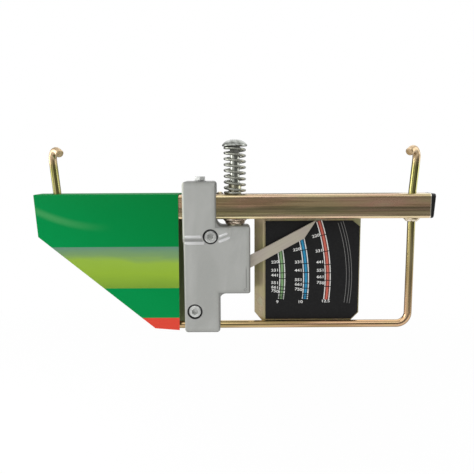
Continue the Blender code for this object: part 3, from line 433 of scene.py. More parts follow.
def cast_alloy(name, dark, light):
    """Tumbled aluminium casting: a grey skin with a fine grain and faint flow marks, painted shadow in the
    screw holes, painted shade round the pin mark, in a groove, along the outline and between the beads, and
    a painted highlight down the left edge.
    """
    finish = new_finish(name, Metallic=0.2)
    place = object_place(finish)
    across, _, height = split(finish, place)
    flow = cloud(finish, place, 45, stretch_along("Z", 0.35), 4, 0.55, 0.8)
    grit = cloud(finish, place, 1500, detail=3, roughness=0.65)
    colour = shades(finish, flow, (0.3, dark), (0.7, light))
    colour = blend(finish, span(finish, grit, 0.35, 0.7, 0.0, 0.2), colour, (0.58, 0.59, 0.57))

    # Painted shadow in the gap round each screw head
    for screw in SCREW_PLACES:
        painted_screw_shadow = ring_round(finish, place, screw, 6.4, 6.7, 7.7, 8.2)
        colour = blend(finish, painted_screw_shadow, colour, (0.015, 0.015, 0.016))
    # Painted shade: a dark ring for the edge of the pin mark
    pin_mark_shade = ring_round(finish, place, PIN_PLACE, 0.8, 1.1, 1.2, 1.6)
    colour = blend(finish, calc(finish, "MULTIPLY", pin_mark_shade, 0.75), colour, (0.1, 0.1, 0.1))
    # Painted shade along a groove at the chamber's right
    painted_groove_shade = calc(finish, "MULTIPLY",
                  span(finish, off_by(finish, across, 11.2 * MM), 0.4 * MM, 0.7 * MM, 0.45, 0.0),
                  between(finish, height, -137 * MM, -136.5 * MM, -118 * MM, -113 * MM))
    colour = blend(finish, painted_groove_shade, colour, (0.06, 0.06, 0.06))

    depth = span(finish, depth_in_casting(finish, across, height), 0.0, 5 * MM)
    colour = blend(finish, 1.0, colour, shades(finish, depth, *CASTING_RIM), "MULTIPLY")
    # Painted highlight down the casting's left edge
    left_rim_highlight = calc(finish, "MULTIPLY", span(finish, across, -52.1 * MM, -50.8 * MM, 0.8, 0.0),
                    span(finish, height, -120 * MM, -90 * MM, 0.35, 1.0))
    colour = blend(finish, left_rim_highlight, colour, (0.72, 0.73, 0.64))
    # Painted shadow between the beads on the shelf
    shadow_between_beads = calc(finish, "MULTIPLY", span(finish, across, -34 * MM, -32.5 * MM, 0.4, 0.0),
                  between(finish, height, -88.5 * MM, -87.2 * MM, -85.8 * MM, -84.5 * MM,
                          smooth_ends=True))
    colour = blend(finish, shadow_between_beads, colour, (0.12, 0.12, 0.12))
    feed(finish, Base_Color=colour, Roughness=span(finish, grit, 0.3, 0.7, 0.56, 0.42),
         Normal=bumps(finish, grit, 0.2, 0.2 * MM))
    return finish


def weld_metal(name, dark, light):
    """Plated weld bead: rippled, with burnt and bright spots."""
    finish = new_finish(name, Metallic=1.0)
    ripples = cloud(finish, object_place(finish), 400, detail=4, roughness=0.6, distortion=0.8)
    feed(finish, Base_Color=shades(finish, ripples, (0.38, dark), (0.5, light), (0.6, (0.95, 0.86, 0.72))),
         Roughness=span(finish, ripples, 0.3, 0.7, 0.42, 0.2), Normal=bumps(finish, ripples, 0.7, 0.8 * MM))
    return finish


# The pointer's slope at rest, which its brushing follows
POINTER_SLOPE = math.radians(28.4)


def satin_steel(name):
    """Sheared steel strip, brushed along the pointer."""
    finish = new_finish(name, Metallic=0.75)
    place = object_place(finish)
    turned = add_node(finish, "VectorRotate", {"Vector": place, "Angle": POINTER_SLOPE},
                      rotation_type="Y_AXIS").outputs[0]
    brushed = cloud(finish, turned, 900, stretch_along("X", 0.03), 3, 0.6)
    warm = cloud(finish, place, 60, detail=2)
    colour = blend(finish, span(finish, warm, 0.35, 0.65), (0.56, 0.51, 0.41), (0.54, 0.47, 0.41))
    colour = blend(finish, span(finish, brushed, 0.35, 0.65, 0.0, 0.3), colour, (0.7, 0.66, 0.56))
    feed(finish, Base_Color=colour, Roughness=span(finish, brushed, 0.3, 0.7, 0.5, 0.38),
         Normal=bumps(finish, brushed, 0.08, 0.1 * MM))
    return finish


# Plastic, ink and card

def black_plastic(name):
    finish = new_finish(name, Specular_IOR_Level=0.3)
    pores = cloud(finish, object_place(finish), 1300)
    colour = shades(finish, pores, (0.3, (0.004, 0.004, 0.004)), (0.7, (0.012, 0.012, 0.011)))
    feed(finish, Base_Color=colour, Roughness=span(finish, pores, 0.3, 0.7, 0.46, 0.34),
         Normal=bumps(finish, pores, 0.15, 0.2 * MM))
    return finish


def ink(name, colour, worn, roughness=0.42):
    """Printed ink, a little uneven."""
    finish = new_finish(name, Specular_IOR_Level=0.2)
    wear = cloud(finish, object_place(finish), 700, detail=3, roughness=0.6)
    feed(finish, Base_Color=shades(finish, wear, (0.3, worn), (0.55, colour)),
         Roughness=span(finish, wear, 0.3, 0.7, roughness + 0.06, roughness - 0.04))
    return finish


# Levels on the printed card, from its fold down
CARD_FOLD = -40.45 * MM
GRASS_TOP = -93 * MM
GRASS_FOOT = -136.1 * MM
RED_TOP = -167.7 * MM
CARD_INSIDE = 13.2 * MM


def card_green(finish, across, height):
    """Green that darkens to the upper right, with a pale bowed sweep that fades out to the right."""
    lean = calc(finish, "ADD", across, calc(finish, "MULTIPLY", height, 1.6))
    green = shades(finish, span(finish, lean, -0.33, -0.1), (0.0, (0.0, 0.262, 0.062)),
                   (0.45, (0.0, 0.222, 0.047)), (1.0, (0.0, 0.182, 0.034)))
    off_peak = calc(finish, "ADD", across, 130 * MM)
    bow = calc(finish, "SUBTRACT", height,
               calc(finish, "MULTIPLY", calc(finish, "POWER", off_peak, 2), 3.4))
    sweep = calc(finish, "MULTIPLY",
                 between(finish, bow, -79 * MM, -73.5 * MM, -72.5 * MM, -67 * MM, smooth_ends=True),
                 span(finish, across, -190 * MM, -120 * MM, 0.36, 0.0, smooth_ends=True))
    return blend(finish, sweep, green, (0.13, 0.42, 0.15))


def card_grass(finish, place, height):
    """A band like blurred grass, bright below and hazy above."""
    drift = cloud(finish, place, 42, (0.35, 1, 1.4), 3, 0.5, 0.4)
    rise = span(finish, waver(finish, height, drift, 14 * MM), -136 * MM, GRASS_TOP)
    return shades(finish, rise, (0.0, (0.2, 0.34, 0.035)), (0.35, (0.29, 0.45, 0.04)),
                  (0.62, (0.3, 0.46, 0.055)), (0.78, (0.2, 0.33, 0.13)), (1.0, (0.13, 0.26, 0.2)))


def printed_card(name):
    """Coated card: green over all, a pale sweep, a band like blurred grass, a red foot, and an unprinted
    inside whose board colour is darkened with painted shade.
    """
    finish = new_finish(name, Specular_IOR_Level=0.05)
    place = object_place(finish)
    across, through, height = split(finish, place)
    green = card_green(finish, across, height)
    printed = blend(finish, below(finish, height, GRASS_TOP), green, card_grass(finish, place, height))
    printed = blend(finish, below(finish, height, GRASS_FOOT), printed, green)
    printed = blend(finish, below(finish, height, RED_TOP), printed, (0.74, 0.06, 0.04))
    fibre = cloud(finish, place, 1200)
    printed = blend(finish, span(finish, fibre, 0.3, 0.7, 0.0, 0.12), printed, (0.008, 0.22, 0.07), "SCREEN")
    # Painted shade: the card's unprinted inside is darkened as if it lay in shade
    inside = calc(finish, "MULTIPLY",
                  below(finish, calc(finish, "ABSOLUTE", through), CARD_INSIDE, 0.02 * MM),
                  below(finish, height, CARD_FOLD, 0.05 * MM))
    feed(finish, Base_Color=blend(finish, inside, printed, (0.17, 0.2, 0.1)),
         Roughness=span(finish, fibre, 0.3, 0.7, 0.42, 0.3), Normal=bumps(finish, fibre, 0.05, 0.1 * MM))
    return finish


# The finishes in use

ZINC_ALONG = yellow_zinc(
    "yellow zinc along the beam", "X",
    ((0.7, 0.64, 0.37), (0.76, 0.62, 0.38), (0.8, 0.54, 0.4), (0.74, 0.68, 0.46)), 0.6, wear=beam_painted_light_and_cut_ends)
ZINC_UPRIGHT = yellow_zinc(
    "yellow zinc upright", "Z",
    ((0.39, 0.39, 0.21), (0.43, 0.38, 0.2), (0.42, 0.34, 0.22), (0.37, 0.42, 0.27)), 0.12, 0.75, 0.4)
ZINC_BUSH = yellow_zinc(
    "pale zinc on the bush", "Z",
    ((0.4, 0.41, 0.3), (0.44, 0.44, 0.32), (0.42, 0.4, 0.3), (0.46, 0.47, 0.36)), 0.4, 0.5)
ZINC_ROD = yellow_zinc(
    "yellow zinc on the rod", "Z",
    ((0.56, 0.5, 0.2), (0.64, 0.5, 0.24), (0.64, 0.4, 0.25), (0.62, 0.56, 0.32)), 0.8,
    place_from=run_of_rod, wear=rod_painted_lines_and_wear)
BRIGHT = bright_zinc("bright zinc", 1.0, (0.2, 0.21, 0.18), (0.33, 0.34, 0.3), (0.46, 0.47, 0.43))
SPRING = bright_zinc("spring zinc", 0.9, (0.18, 0.185, 0.155), (0.25, 0.255, 0.22), (0.33, 0.335, 0.295))
# A darker copy of the bright zinc, for the cup head
HEAD = bright_zinc("darkened bright zinc", 1.0, (0.12, 0.125, 0.11), (0.24, 0.25, 0.23), (0.4, 0.41, 0.39))
SCREW = bright_zinc("barrelled screw zinc", 0.45, (0.44, 0.45, 0.43), (0.6, 0.61, 0.59), (0.74, 0.75, 0.72))
CAST = cast_alloy("tumbled casting", (0.36, 0.365, 0.345), (0.435, 0.44, 0.42))
# Painted highlight: a lighter copy of the casting, for the beads
CAST_HIGHLIGHTED = cast_alloy("casting with painted highlight", (0.57, 0.57, 0.57), (0.67, 0.67, 0.67))
ROD_WELD = weld_metal("plated weld", (0.3, 0.25, 0.15), (0.62, 0.52, 0.34))
BUSH_WELD = weld_metal("coppery weld", (0.13, 0.09, 0.06), (0.66, 0.52, 0.4))
STEEL = satin_steel("brushed pointer steel")
PLASTIC = black_plastic("black end cap plastic")
LABEL_BLACK = ink("label black", (0.0075, 0.0075, 0.008), (0.0125, 0.0125, 0.013), 0.5)
WHITE_INK = ink("white ink", (0.8, 0.8, 0.78), (0.68, 0.68, 0.66))
RED_INK = ink("red ink", (0.6, 0.14, 0.1), (0.5, 0.1, 0.07))
BLUE_INK = ink("blue ink", (0.03, 0.28, 0.5), (0.02, 0.22, 0.4))
GREEN_INK = ink("green ink", (0.22, 0.38, 0.18), (0.17, 0.31, 0.13))
BLACK_INK = ink("black ink", (0.006, 0.006, 0.006), (0.01, 0.01, 0.01))
GREY_INK = ink("grey ink", (0.19, 0.19, 0.185), (0.14, 0.14, 0.135))
CARD = printed_card("printed card")


# The bent rod: both hooks, both legs and the handle loop in one run

# How far a leg leans outwards at its top, how far its hook turns in from the front and how far round it goes
HOOK_LEAN = math.radians(4.7)
HOOK_INWARD = math.radians(43)
HOOK_SWEEP = math.radians(118)
HOOK_BEND = 9.5 * MM
HOOK_TOE = 5 * MM
LEAN_HEIGHT = BEAM_TOP + 2.5 * MM
LEAN_BEND = 20 * MM
HANDLE_BEND = 12 * MM
HANDLE_CORNERS = ((-LEG_PLACE, -88 * MM), (-75.5 * MM, -179 * MM), (LEG_PLACE, -179 * MM))

# The broken edge of the rod's ends
ROD_EDGE = 0.7 * MM
DEGREES_A_STEP = 6


def hook_corners(side):
    """The corners of one leg's top and its hook: each a place and the bend's radius there."""
    up = Vector((side * math.sin(HOOK_LEAN), 0, math.cos(HOOK_LEAN)))
    forward = Vector((-side * math.sin(HOOK_INWARD), -math.cos(HOOK_INWARD), 0))
    forward = (forward - up * forward.dot(up)).normalized()
    reach = HOOK_BEND * math.tan(HOOK_SWEEP / 2)
    crown = HOOK_BEND * math.hypot(up.z, forward.z) + HOOK_BEND * forward.z
    lean_start = Vector((side * LEG_PLACE, 0, LEAN_HEIGHT))
    bend_start = lean_start + up * ((ROD_RADIUS - crown - lean_start.z) / up.z)
    corner = bend_start + up * reach
    toe = corner + (up * math.cos(HOOK_SWEEP) + forward * math.sin(HOOK_SWEEP)) * (reach + HOOK_TOE)
    return [(lean_start, LEAN_BEND), (corner, HOOK_BEND), (toe, 0)]


def mark_run(rod, centres):
    """Gives each point its place on the rod before bending, so that the drawn marks and the painted
    reflection lines follow the bends.
    """
    last = len(centres) - 1
    aheads = [(centres[min(index + 1, last)] - centres[max(index - 1, 0)]).normalized()
              for index in range(last + 1)]
    fronts = {last // 2: Vector((0, -1, 0))}
    for order in (range(last // 2 + 1, last + 1), range(last // 2 - 1, -1, -1)):
        front = fronts[last // 2]
        for index in order:
            front = (front - aheads[index] * front.dot(aheads[index])).normalized()
            fronts[index] = front
    run = 0.0
    rings = []
    for index, centre in enumerate(centres):
        run += (centre - centres[max(index - 1, 0)]).length
        rings.append((centre, fronts[index], aheads[index].cross(fronts[index]), run))
    rod.data.attributes.new("rod_run", "FLOAT_VECTOR", "POINT")
    rod.data.attributes.new("rod_end", "FLOAT", "POINT")
    runs, ends = rod.data.attributes["rod_run"].data, rod.data.attributes["rod_end"].data
    for vertex in rod.data.vertices:
        centre, front, outward, place = min(rings, key=lambda ring: (vertex.co - ring[0]).length_squared)
        off = vertex.co - centre
        runs[vertex.index].vector = (off.dot(front), off.dot(outward), place)
        ends[vertex.index].value = min(place, run - place)


def make_bent_rod():
    handle = [(Vector((x, 0, z)), HANDLE_BEND) for x, z in HANDLE_CORNERS]
    corners = hook_corners(-1)[::-1] + handle + hook_corners(1)
    start = corners[0][0]
    heading = (corners[1][0] - start).normalized()
    rod = start_disc(start, facing(heading), ROD_RADIUS - ROD_EDGE, 32)
    centres = [start]

    def draw_to(point, grow=1.0):
        draw_out(point - centres[-1], grow, point)
        centres.append(point)

    draw_to(start + heading * ROD_EDGE, ROD_RADIUS / (ROD_RADIUS - ROD_EDGE))
    for index in range(1, len(corners) - 1):
        corner, bend = corners[index]
        before = (corners[index - 1][0] - corner).normalized()
        after = (corners[index + 1][0] - corner).normalized()
        half = before.angle(after) / 2
        middle = corner + (before + after).normalized() * bend / math.sin(half)
        bend_in = corner + before * bend / math.tan(half)
        bend_out = corner + after * bend / math.tan(half)
        draw_to(bend_in)
        axis = (bend_in - middle).cross(bend_out - middle).normalized()
        sweep = math.pi - 2 * half
        steps = max(3, round(math.degrees(sweep) / DEGREES_A_STEP))
        bpy.ops.mesh.spin(steps=steps, angle=-sweep, center=middle, axis=axis)
        centres.extend(middle + Matrix.Rotation(sweep * step / steps, 3, axis) @ (bend_in - middle)
                       for step in range(1, steps + 1))
    end = corners[-1][0]
    heading = (end - centres[-1]).normalized()
    draw_to(end - heading * ROD_EDGE)
    draw_to(end, (ROD_RADIUS - ROD_EDGE) / ROD_RADIUS)
    done_editing()
    settle(rod, 40)
    mark_run(rod, centres)
    hand_over(rod, "bent_rod_finished", ZINC_ROD, "yellow_zinc", "frame", "bent_rod")


# The spring, wound as in the CAD model but finer

WIRE_RADIUS = 1.3 * MM
COIL_RADIUS = 10.2 * MM
COIL_TOP = 6.4 * MM
COIL_DROP = 45.3 * MM
COIL_START = math.pi * 0.4
POINTS_A_TURN = 40

# Each end has a flat part and a ramp, which counts for half its turns at full pitch
COIL_TURNS = 8.6
FLAT_TURNS = 0.3
RAMP_TURNS = 0.3
COIL_PITCH = COIL_DROP / (COIL_TURNS - 2 * FLAT_TURNS - RAMP_TURNS)


def spring_drop(turn):
    """How far the winding has come down after so many turns."""
    if turn <= FLAT_TURNS:
        return 0
    if turn <= FLAT_TURNS + RAMP_TURNS:
        return COIL_PITCH * (turn - FLAT_TURNS) ** 2 / RAMP_TURNS / 2
    if turn <= COIL_TURNS - FLAT_TURNS - RAMP_TURNS:
        return COIL_PITCH * (RAMP_TURNS / 2 + turn - FLAT_TURNS - RAMP_TURNS)
    return COIL_DROP - spring_drop(COIL_TURNS - turn)


def make_spring():
    count = round(COIL_TURNS * POINTS_A_TURN)
    points = []
    for index in range(count + 1):
        turn = COIL_TURNS * index / count
        angle = COIL_START + 2 * math.pi * turn
        points.append(Vector((COIL_RADIUS * math.cos(angle), COIL_RADIUS * math.sin(angle),
                              COIL_TOP - spring_drop(turn))))
    points.insert(0, points[0] + (points[0] - points[1]).normalized() * 2 * WIRE_RADIUS)
    points.append(points[-1] + (points[-1] - points[-2]).normalized() * 2 * WIRE_RADIUS)
    wound = bpy.data.curves.new("winding", "CURVE")
    wound.dimensions = "3D"
    wound.bevel_depth = WIRE_RADIUS
    wound.bevel_resolution = 4
    wound.use_fill_caps = True
    line = wound.splines.new("POLY")
    line.points.add(len(points) - 1)
    for spot, point in zip(line.points, points):
        spot.co = (*point, 1)
    pick_only(add_object("winding", wound))
    bpy.ops.object.convert(target="MESH")
    spring = settle(bpy.context.object, 40)
    hand_over(spring, "plunger_spring_finished", SPRING, "bright_zinc", "plunger", "plunger_spring")
    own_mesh(spring)


# The plunger's cup head over its square neck and shank

# Rings of the head from its underside up: each one's radius and height in millimetres
HEAD_RINGS = ((12.2, 8.0), (12.8, 8.5), (12.8, 9.3), (12.55, 9.8), (11.9, 10.6), (10.6, 11.8),
              (8.9, 12.95), (6.9, 13.9), (4.6, 14.6), (2.3, 14.92), (0.6, 15.0))


def make_plunger():
    rings = [(radius * MM, height * MM) for radius, height in HEAD_RINGS]
    radius, height = rings[0]
    head = start_disc((0, 0, height), (0, 0, 0), radius, 72)
    for next_radius, next_height in rings[1:]:
        draw_out((0, 0, next_height - height), next_radius / radius, (0, 0, next_height))
        radius, height = next_radius, next_height
    done_editing()
    hand_over(settle(head), "plunger_head_finished", HEAD, "bright_zinc", "plunger", "plunger_bolt")

    shank = copy_of("plunger_bolt")
    edit(shank)
    bpy.ops.mesh.bisect(plane_co=(0, 0, HEAD_UNDERSIDE + 0.2 * MM), plane_no=(0, 0, 1), use_fill=True,
                        clear_outer=True)
    done_editing()
    smooth_solid(shank)
    hand_over(shank, "plunger_shank_finished", BRIGHT, "bright_zinc", "plunger", "plunger_bolt")


# Welds

def make_weld(node, finish, slot, depth):
    """The CAD weld with its surface broken up by a soft random texture."""
    bead = copy_of(node)
    edit(bead)
    bpy.ops.mesh.quads_convert_to_tris()
    bpy.ops.mesh.subdivide(number_cuts=3, smoothness=0.0)
    done_editing()
    ripples = bpy.data.textures.new("ripples", "CLOUDS")
    ripples.noise_scale = 2.2 * MM
    apply_modifier(bead, "DISPLACE", texture=ripples, texture_coords="LOCAL", strength=depth, mid_level=0.5)
    smooth(bead, 60)
    hand_over(bead, node + "_finished", finish, slot, "frame", node)


# Cast beads along the shelf of the housing

# Each bead's start and end, and its radius, in millimetres
BEADS = (((-51.6, -14.6, -82.6), (-33.8, -14.6, -82.6), 1.9),
         ((-51.6, -11.7, -89.6), (-31.0, -11.7, -89.6), 2.1),
         ((-16.6, -14.8, -82.6), (-7.6, -14.7, -79.0), 1.6),
         ((-17.2, -11.8, -88.6), (-5.2, -11.8, -83.6), 1.9))

# How a bead swells from each end: distance from the end and share of its radius
BEAD_TAPER = [(0.0, 0.3), (0.3 * MM, 0.6), (0.8 * MM, 0.84), (1.6 * MM, 1.0)]


def make_bead(name, start, end, reach):
    """A low rib on the casting whose ends die into the skin."""
    length = (end - start).length
    rings = BEAD_TAPER + [(length - drawn, share) for drawn, share in reversed(BEAD_TAPER)]
    drawn, share = rings[0]
    bead = start_disc(start, facing(end - start), reach * share, 20)
    for next_drawn, next_share in rings[1:]:
        draw_out((end - start) * (next_drawn - drawn) / length, next_share / share,
                 start.lerp(end, next_drawn / length))
        drawn, share = next_drawn, next_share
    done_editing()
    # The bead takes the lighter casting as a painted highlight
    hand_over(settle(bead, 50), name, CAST_HIGHLIGHTED, "cast_alloy", "frame")


def make_beads():
    for number, (start, end, reach) in enumerate(BEADS, 1):
        make_bead(f"cast_bead_{number}", Vector(start) * MM, Vector(end) * MM, reach * MM)


# The card

# The rear flap's right edge lies to the right of one plane and behind another, and is drawn on to a third
FLAP_RIGHT_OF = -58.5 * MM
FLAP_BEHIND = 12 * MM
FLAP_DRAWN_TO = -54 * MM


def make_card():
    """The folded card, with its rear flap drawn on to just short of the casting."""
    card = copy_of("card_sleeve")
    edit(card, "DESELECT")
    done_editing()
    for vertex in card.data.vertices:
        vertex.select = vertex.co.x > FLAP_RIGHT_OF and vertex.co.y > FLAP_BEHIND
    bpy.ops.object.mode_set(mode="EDIT")
    bpy.ops.transform.resize(value=(0, 1, 1), center_override=(FLAP_DRAWN_TO, 0, 0))
    done_editing()
    hand_over(settle(card), "card_sleeve_finished", CARD, "printed_card", "frame", "card_sleeve")


# The dial's printed scales

# Centres, radii and the numbers' places are in millimetres, the ends of a scale and its ticks in degrees
# above level, and each number has its place to the right, its height and its tilt.
Scale = namedtuple("Scale", "colour ink centre radius low high ticks fine_ticks numbers")
SCALES = (
    Scale("red", RED_INK, (-96.52, -131.22), 194.42, -6.57, 18.6,
          (14.0, 8.82, 4.58, 1.94, -0.42, -2.4), (),
          ((84.7, -85.0, 14), (88.4, -101.0, 9), (89.5, -113.0, 5), (90.1, -121.9, 2),
           (90.2, -129.0, -1), (90.3, -135.4, -6))),
    Scale("blue", BLUE_INK, (-113.71, -132.07), 188.6, -6.3, 15.9,
          (9.79, 5.36, 2.44, -1.09, -2.74, -4.53), (-5.1, -5.7),
          ((64.8, -99.4, 11), (66.7, -112.8, 5), (66.8, -121.8, 2), (66.9, -132.0, -1),
           (67.0, -137.0, -4), (67.0, -142.4, -8))),
    Scale("green", GREEN_INK, (-137.96, -129.88), 187.68, -6.96, 11.2,
          (4.72, 1.69, -0.23, -2.95, -4.08, -5.18), (-5.7, -6.2, -6.6),
          ((41.9, -112.7, 5), (41.9, -121.6, 2), (42.0, -127.0, -1), (42.0, -135.1, -3),
           (42.0, -140.0, -6), (42.0, -144.1, -9))),
)
FORCES = ("220", "331", "441", "551", "661", "750")
GAUGES = (("9", 44.6, -155.9), ("10", 69.0, -156.0), ("12.5", 96.0, -155.3))

# Thin lines beside the scales
GUIDE_CENTRE = (-62.26 * MM, -130.79 * MM)
GUIDE_RADII = (179.96 * MM, 183.06 * MM, 185.56 * MM)
GUIDE_WIDTH = 0.55 * MM
GUIDE_ENDS = (-8.4, 19.3)

# Widths across a scale, and how far off its middle the white edges and the black lines lie
BAND_WIDTH = 4.0 * MM
EDGE_WIDTH = 0.95 * MM
EDGE_OFFSET = 2.65 * MM
LINE_WIDTH = 0.6 * MM
LINE_OFFSET = 1.45 * MM
TICK_LENGTH = 6.4 * MM
FINE_TICK_LENGTH = 6.6 * MM

TICK_HALF_WIDTH = 0.42 * MM
FINE_TICK_SHARE = 0.8
NUMBER_SIZE = 4.2 * MM
NUMBER_WIDTH = 1.3
PRINT_THICKNESS = 0.08 * MM

# How far each layer of print stands out from the label
UNDER = 0.02 * MM
OVER = 0.08 * MM
TOPMOST = 0.1 * MM


def stripe(centre, radius, width, low, high, layer):
    """A flat curved stripe: its cross section spun about the middle of the scale."""
    x, z = centre
    bpy.ops.mesh.primitive_plane_add(size=1, location=(x + radius, LABEL_FRONT - layer, z))
    band = bpy.context.object
    band.scale = (width, PRINT_THICKNESS, 1)
    bpy.ops.object.transform_apply(location=True, scale=True)
    middle = Matrix.Translation((x, 0, z))
    band.data.transform(middle @ Matrix.Rotation(-math.radians(low), 4, "Y") @ middle.inverted())
    edit(band)
    bpy.ops.mesh.spin(steps=max(2, round((high - low) * 1.5)), angle=math.radians(high - low),
                      center=(x, 0, z), axis=(0, 1, 0))
    done_editing()
    return settle(band)


def number(words, x, z, tilt):
    """One number on the label, centred on a place in millimetres."""
    bpy.ops.object.text_add()
    text = bpy.context.object.data
    text.body = words
    text.size = NUMBER_SIZE
    text.align_x = "CENTER"
    text.align_y = "CENTER"
    text.extrude = 0.04 * MM
    text.offset = 0.07 * MM
    text.resolution_u = 4
    bpy.ops.object.convert(target="MESH")
    digits = bpy.context.object
    digits.data.transform(Matrix.Translation((x * MM, LABEL_FRONT - 0.06 * MM, z * MM))
                          @ Matrix.Rotation(-math.radians(tilt), 4, "Y")
                          @ Matrix.Rotation(math.pi / 2, 4, "X")
                          @ Matrix.Diagonal((NUMBER_WIDTH, 1, 1, 1)))
    return digits


def join(pieces):
    bpy.ops.object.select_all(action="DESELECT")
    for piece in pieces:
        piece.select_set(True)
    bpy.context.view_layer.objects.active = pieces[0]
    bpy.ops.object.join()
    return pieces[0]


def print_on(piece, name, finish):
    hand_over(piece, name, finish, "dial_print", "frame")


def print_scale(scale):
    """A coloured band between white edges, with black lines and ticks over it."""
    centre = (scale.centre[0] * MM, scale.centre[1] * MM)
    radius = scale.radius * MM
    edges = [stripe(centre, radius + offset, EDGE_WIDTH, scale.low, scale.high, UNDER)
             for offset in (-EDGE_OFFSET, EDGE_OFFSET)]
    print_on(join(edges), f"{scale.colour}_scale_edges", WHITE_INK)
    band = stripe(centre, radius, BAND_WIDTH, scale.low, scale.high, UNDER)
    print_on(band, f"{scale.colour}_scale_band", scale.ink)
    marks = [stripe(centre, radius + offset, LINE_WIDTH, scale.low, scale.high, OVER)
             for offset in (-LINE_OFFSET, LINE_OFFSET)]
    half = math.degrees(TICK_HALF_WIDTH / radius)
    for angle in scale.ticks:
        marks.append(stripe(centre, radius, TICK_LENGTH, angle - half, angle + half, TOPMOST))
    half *= FINE_TICK_SHARE
    for angle in scale.fine_ticks:
        marks.append(stripe(centre, radius, FINE_TICK_LENGTH, angle - half, angle + half, TOPMOST))
    print_on(join(marks), f"{scale.colour}_scale_marks", BLACK_INK)
    return [number(words, *place) for words, place in zip(FORCES, scale.numbers)]


def make_scales():
    numbers = []
    for scale in SCALES:
        numbers.extend(print_scale(scale))
    for words, x, z in GAUGES:
        numbers.append(number(words, x, z, 0))
    print_on(settle(join(numbers)), "scale_numbers", WHITE_INK)
    for index, radius in enumerate(GUIDE_RADII, 1):
        guide = stripe(GUIDE_CENTRE, radius, GUIDE_WIDTH, *GUIDE_ENDS, UNDER)
        print_on(guide, f"guide_line_{index}", GREY_INK)


# Dressing the pieces whose CAD shape is right

def dress_the_rest():
    dress("beam", ZINC_ALONG, "yellow_zinc", "frame")
    for side in ("left", "right"):
        dress(f"end_cap_{side}", PLASTIC, "black_plastic", "frame", 0.25 * MM)
        make_weld(f"rod_weld_{side}", ROD_WELD, "yellow_zinc", 0.7 * MM)
    dress("guide_bush", ZINC_BUSH, "yellow_zinc", "frame", 0.2 * MM)
    make_weld("bush_weld", BUSH_WELD, "weld_metal", 0.8 * MM)
    make_weld("locating_weld", ROD_WELD, "yellow_zinc", 0.4 * MM)
    for place in ("top_left", "top_right", "bottom_left", "bottom_right"):
        make_weld(f"plate_weld_{place}", ROD_WELD, "yellow_zinc", 0.3 * MM)
    for half in ("front", "rear"):
        dress(f"housing_{half}", CAST, "cast_alloy", "frame")
    for place in ("upper", "lower"):
        dress(f"housing_screw_{place}", SCREW, "bright_zinc", "frame", 0.3 * MM)
    dress("clamp_bolt", SCREW, "bright_zinc", "frame", 0.3 * MM)
    dress("dial_plate", ZINC_UPRIGHT, "yellow_zinc", "frame", 0.15 * MM)
    dress("dial_face", LABEL_BLACK, "dial_print", "frame")
    for nut in ("stop_nut", "lock_nut"):
        dress(nut, BRIGHT, "bright_zinc", "plunger", 0.25 * MM)
    dress("cross_pin", BRIGHT, "bright_zinc", "plunger")
    dress("pointer", STEEL, "satin_steel", "pointer_lever", 0.2 * MM)
    dress("pointer_hub", BRIGHT, "bright_zinc", "pointer_lever")
    dress("pivot_pin", BRIGHT, "bright_zinc", "frame", 0.2 * MM)


# Studio, in metres

MIDDLE_HEIGHT = -0.09
FLOOR_HEIGHT = -0.45

# Cards that only reflections see: name, degrees round from the front, distance, width, height and level
CARDS = (("front_card", 34, 0.9, 2.0, 0.8, MIDDLE_HEIGHT), ("side_card", -125, 1.2, 0.5, 1.4, 0.0),
         ("rear_card", 190, 0.9, 1.3, 0.8, MIDDLE_HEIGHT))

# Name, place, width and power
LAMPS = (("key_lamp", (-0.7, -0.9, 0.9), 1.8, 8), ("fill_lamp", (0.9, -0.9, 0.5), 1.6, 4),
         ("left_lamp", (-1.1, 0.0, 0.1), 0.9, 8), ("right_lamp", (1.1, 0.0, 0.2), 0.9, 4),
         ("back_lamp", (0.2, 0.9, 0.9), 1.6, 5))


def bare_nodes(owner):
    """Empties the nodes of a finish or of the world."""
    owner.use_nodes = True
    owner.node_tree.nodes.clear()
    return owner


def seen_by(owner, *kinds):
    """1 for rays of the kinds named, 0 for the rest."""
    rays = add_node(owner, "LightPath", {})
    return calc(owner, "MAXIMUM", *(rays.outputs[f"Is {kind} Ray"] for kind in kinds))


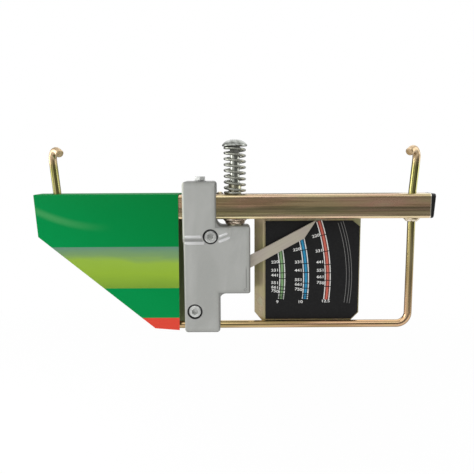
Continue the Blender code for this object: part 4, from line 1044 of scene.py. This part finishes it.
def make_sky():
    """White to the camera and in reflections, and weaker as a light."""
    world = bare_nodes(bpy.data.worlds.new("studio"))
    bpy.context.scene.world = world
    strength = span(world, seen_by(world, "Camera", "Glossy", "Transmission"), 0.0, 1.0, 0.42, 1.0)
    sky = add_node(world, "Background", {"Color": (1, 1, 1, 1), "Strength": strength})
    add_node(world, "OutputWorld", {"Surface": sky.outputs["Background"]})


def make_floor():
    """White to the eye with a faint shadow under the part, which fades out all round it."""
    pale = bare_nodes(bpy.data.materials.new("pale floor"))
    away = add_node(pale, "VectorMath", {0: object_place(pale)}, operation="LENGTH").outputs["Value"]
    share = calc(pale, "MULTIPLY", seen_by(pale, "Camera", "Glossy"), span(pale, away, 0.35, 1.2, 0.88, 1.0))
    lit = add_node(pale, "BsdfDiffuse", {"Color": (0.95, 0.95, 0.95, 1)})
    glow = add_node(pale, "Emission", {})
    mix = add_node(pale, "MixShader", {0: share, 1: lit.outputs[0], 2: glow.outputs[0]})
    add_node(pale, "OutputMaterial", {"Surface": mix.outputs[0]})
    bpy.ops.mesh.primitive_plane_add(size=8, location=(0, 0, FLOOR_HEIGHT))
    floor = bpy.context.object
    floor.name = "floor"
    floor.data.materials.append(pale)


def make_cards():
    shade = bare_nodes(bpy.data.materials.new("dark card"))
    glow = add_node(shade, "Emission", {"Color": (0.25, 0.25, 0.25, 1)})
    add_node(shade, "OutputMaterial", {"Surface": glow.outputs[0]})
    for name, degrees, far, wide, high, level in CARDS:
        turn = math.radians(degrees)
        bpy.ops.mesh.primitive_plane_add(size=1, rotation=(math.pi / 2, 0, turn),
                                         location=(far * math.sin(turn), -far * math.cos(turn), level))
        card = bpy.context.object
        card.name = name
        card.scale = (wide, high, 1)
        card.data.materials.append(shade)
        for kind in ("camera", "diffuse", "shadow", "transmission"):
            setattr(card, f"visible_{kind}", False)


def make_lamps():
    for name, place, size, power in LAMPS:
        lamp = add_object(name, bpy.data.lights.new(name, "AREA"))
        lamp.data.shape = "DISK"
        lamp.data.size = size
        lamp.data.energy = power
        lamp.location = place
        aim = Vector((0, 0, MIDDLE_HEIGHT)) - Vector(place)
        lamp.rotation_euler = aim.to_track_quat("-Z", "Y").to_euler()


set_camera()
make_bent_rod()
make_spring()
make_plunger()
make_beads()
make_card()
make_scales()
dress_the_rest()
make_sky()
make_floor()
make_cards()
make_lamps()
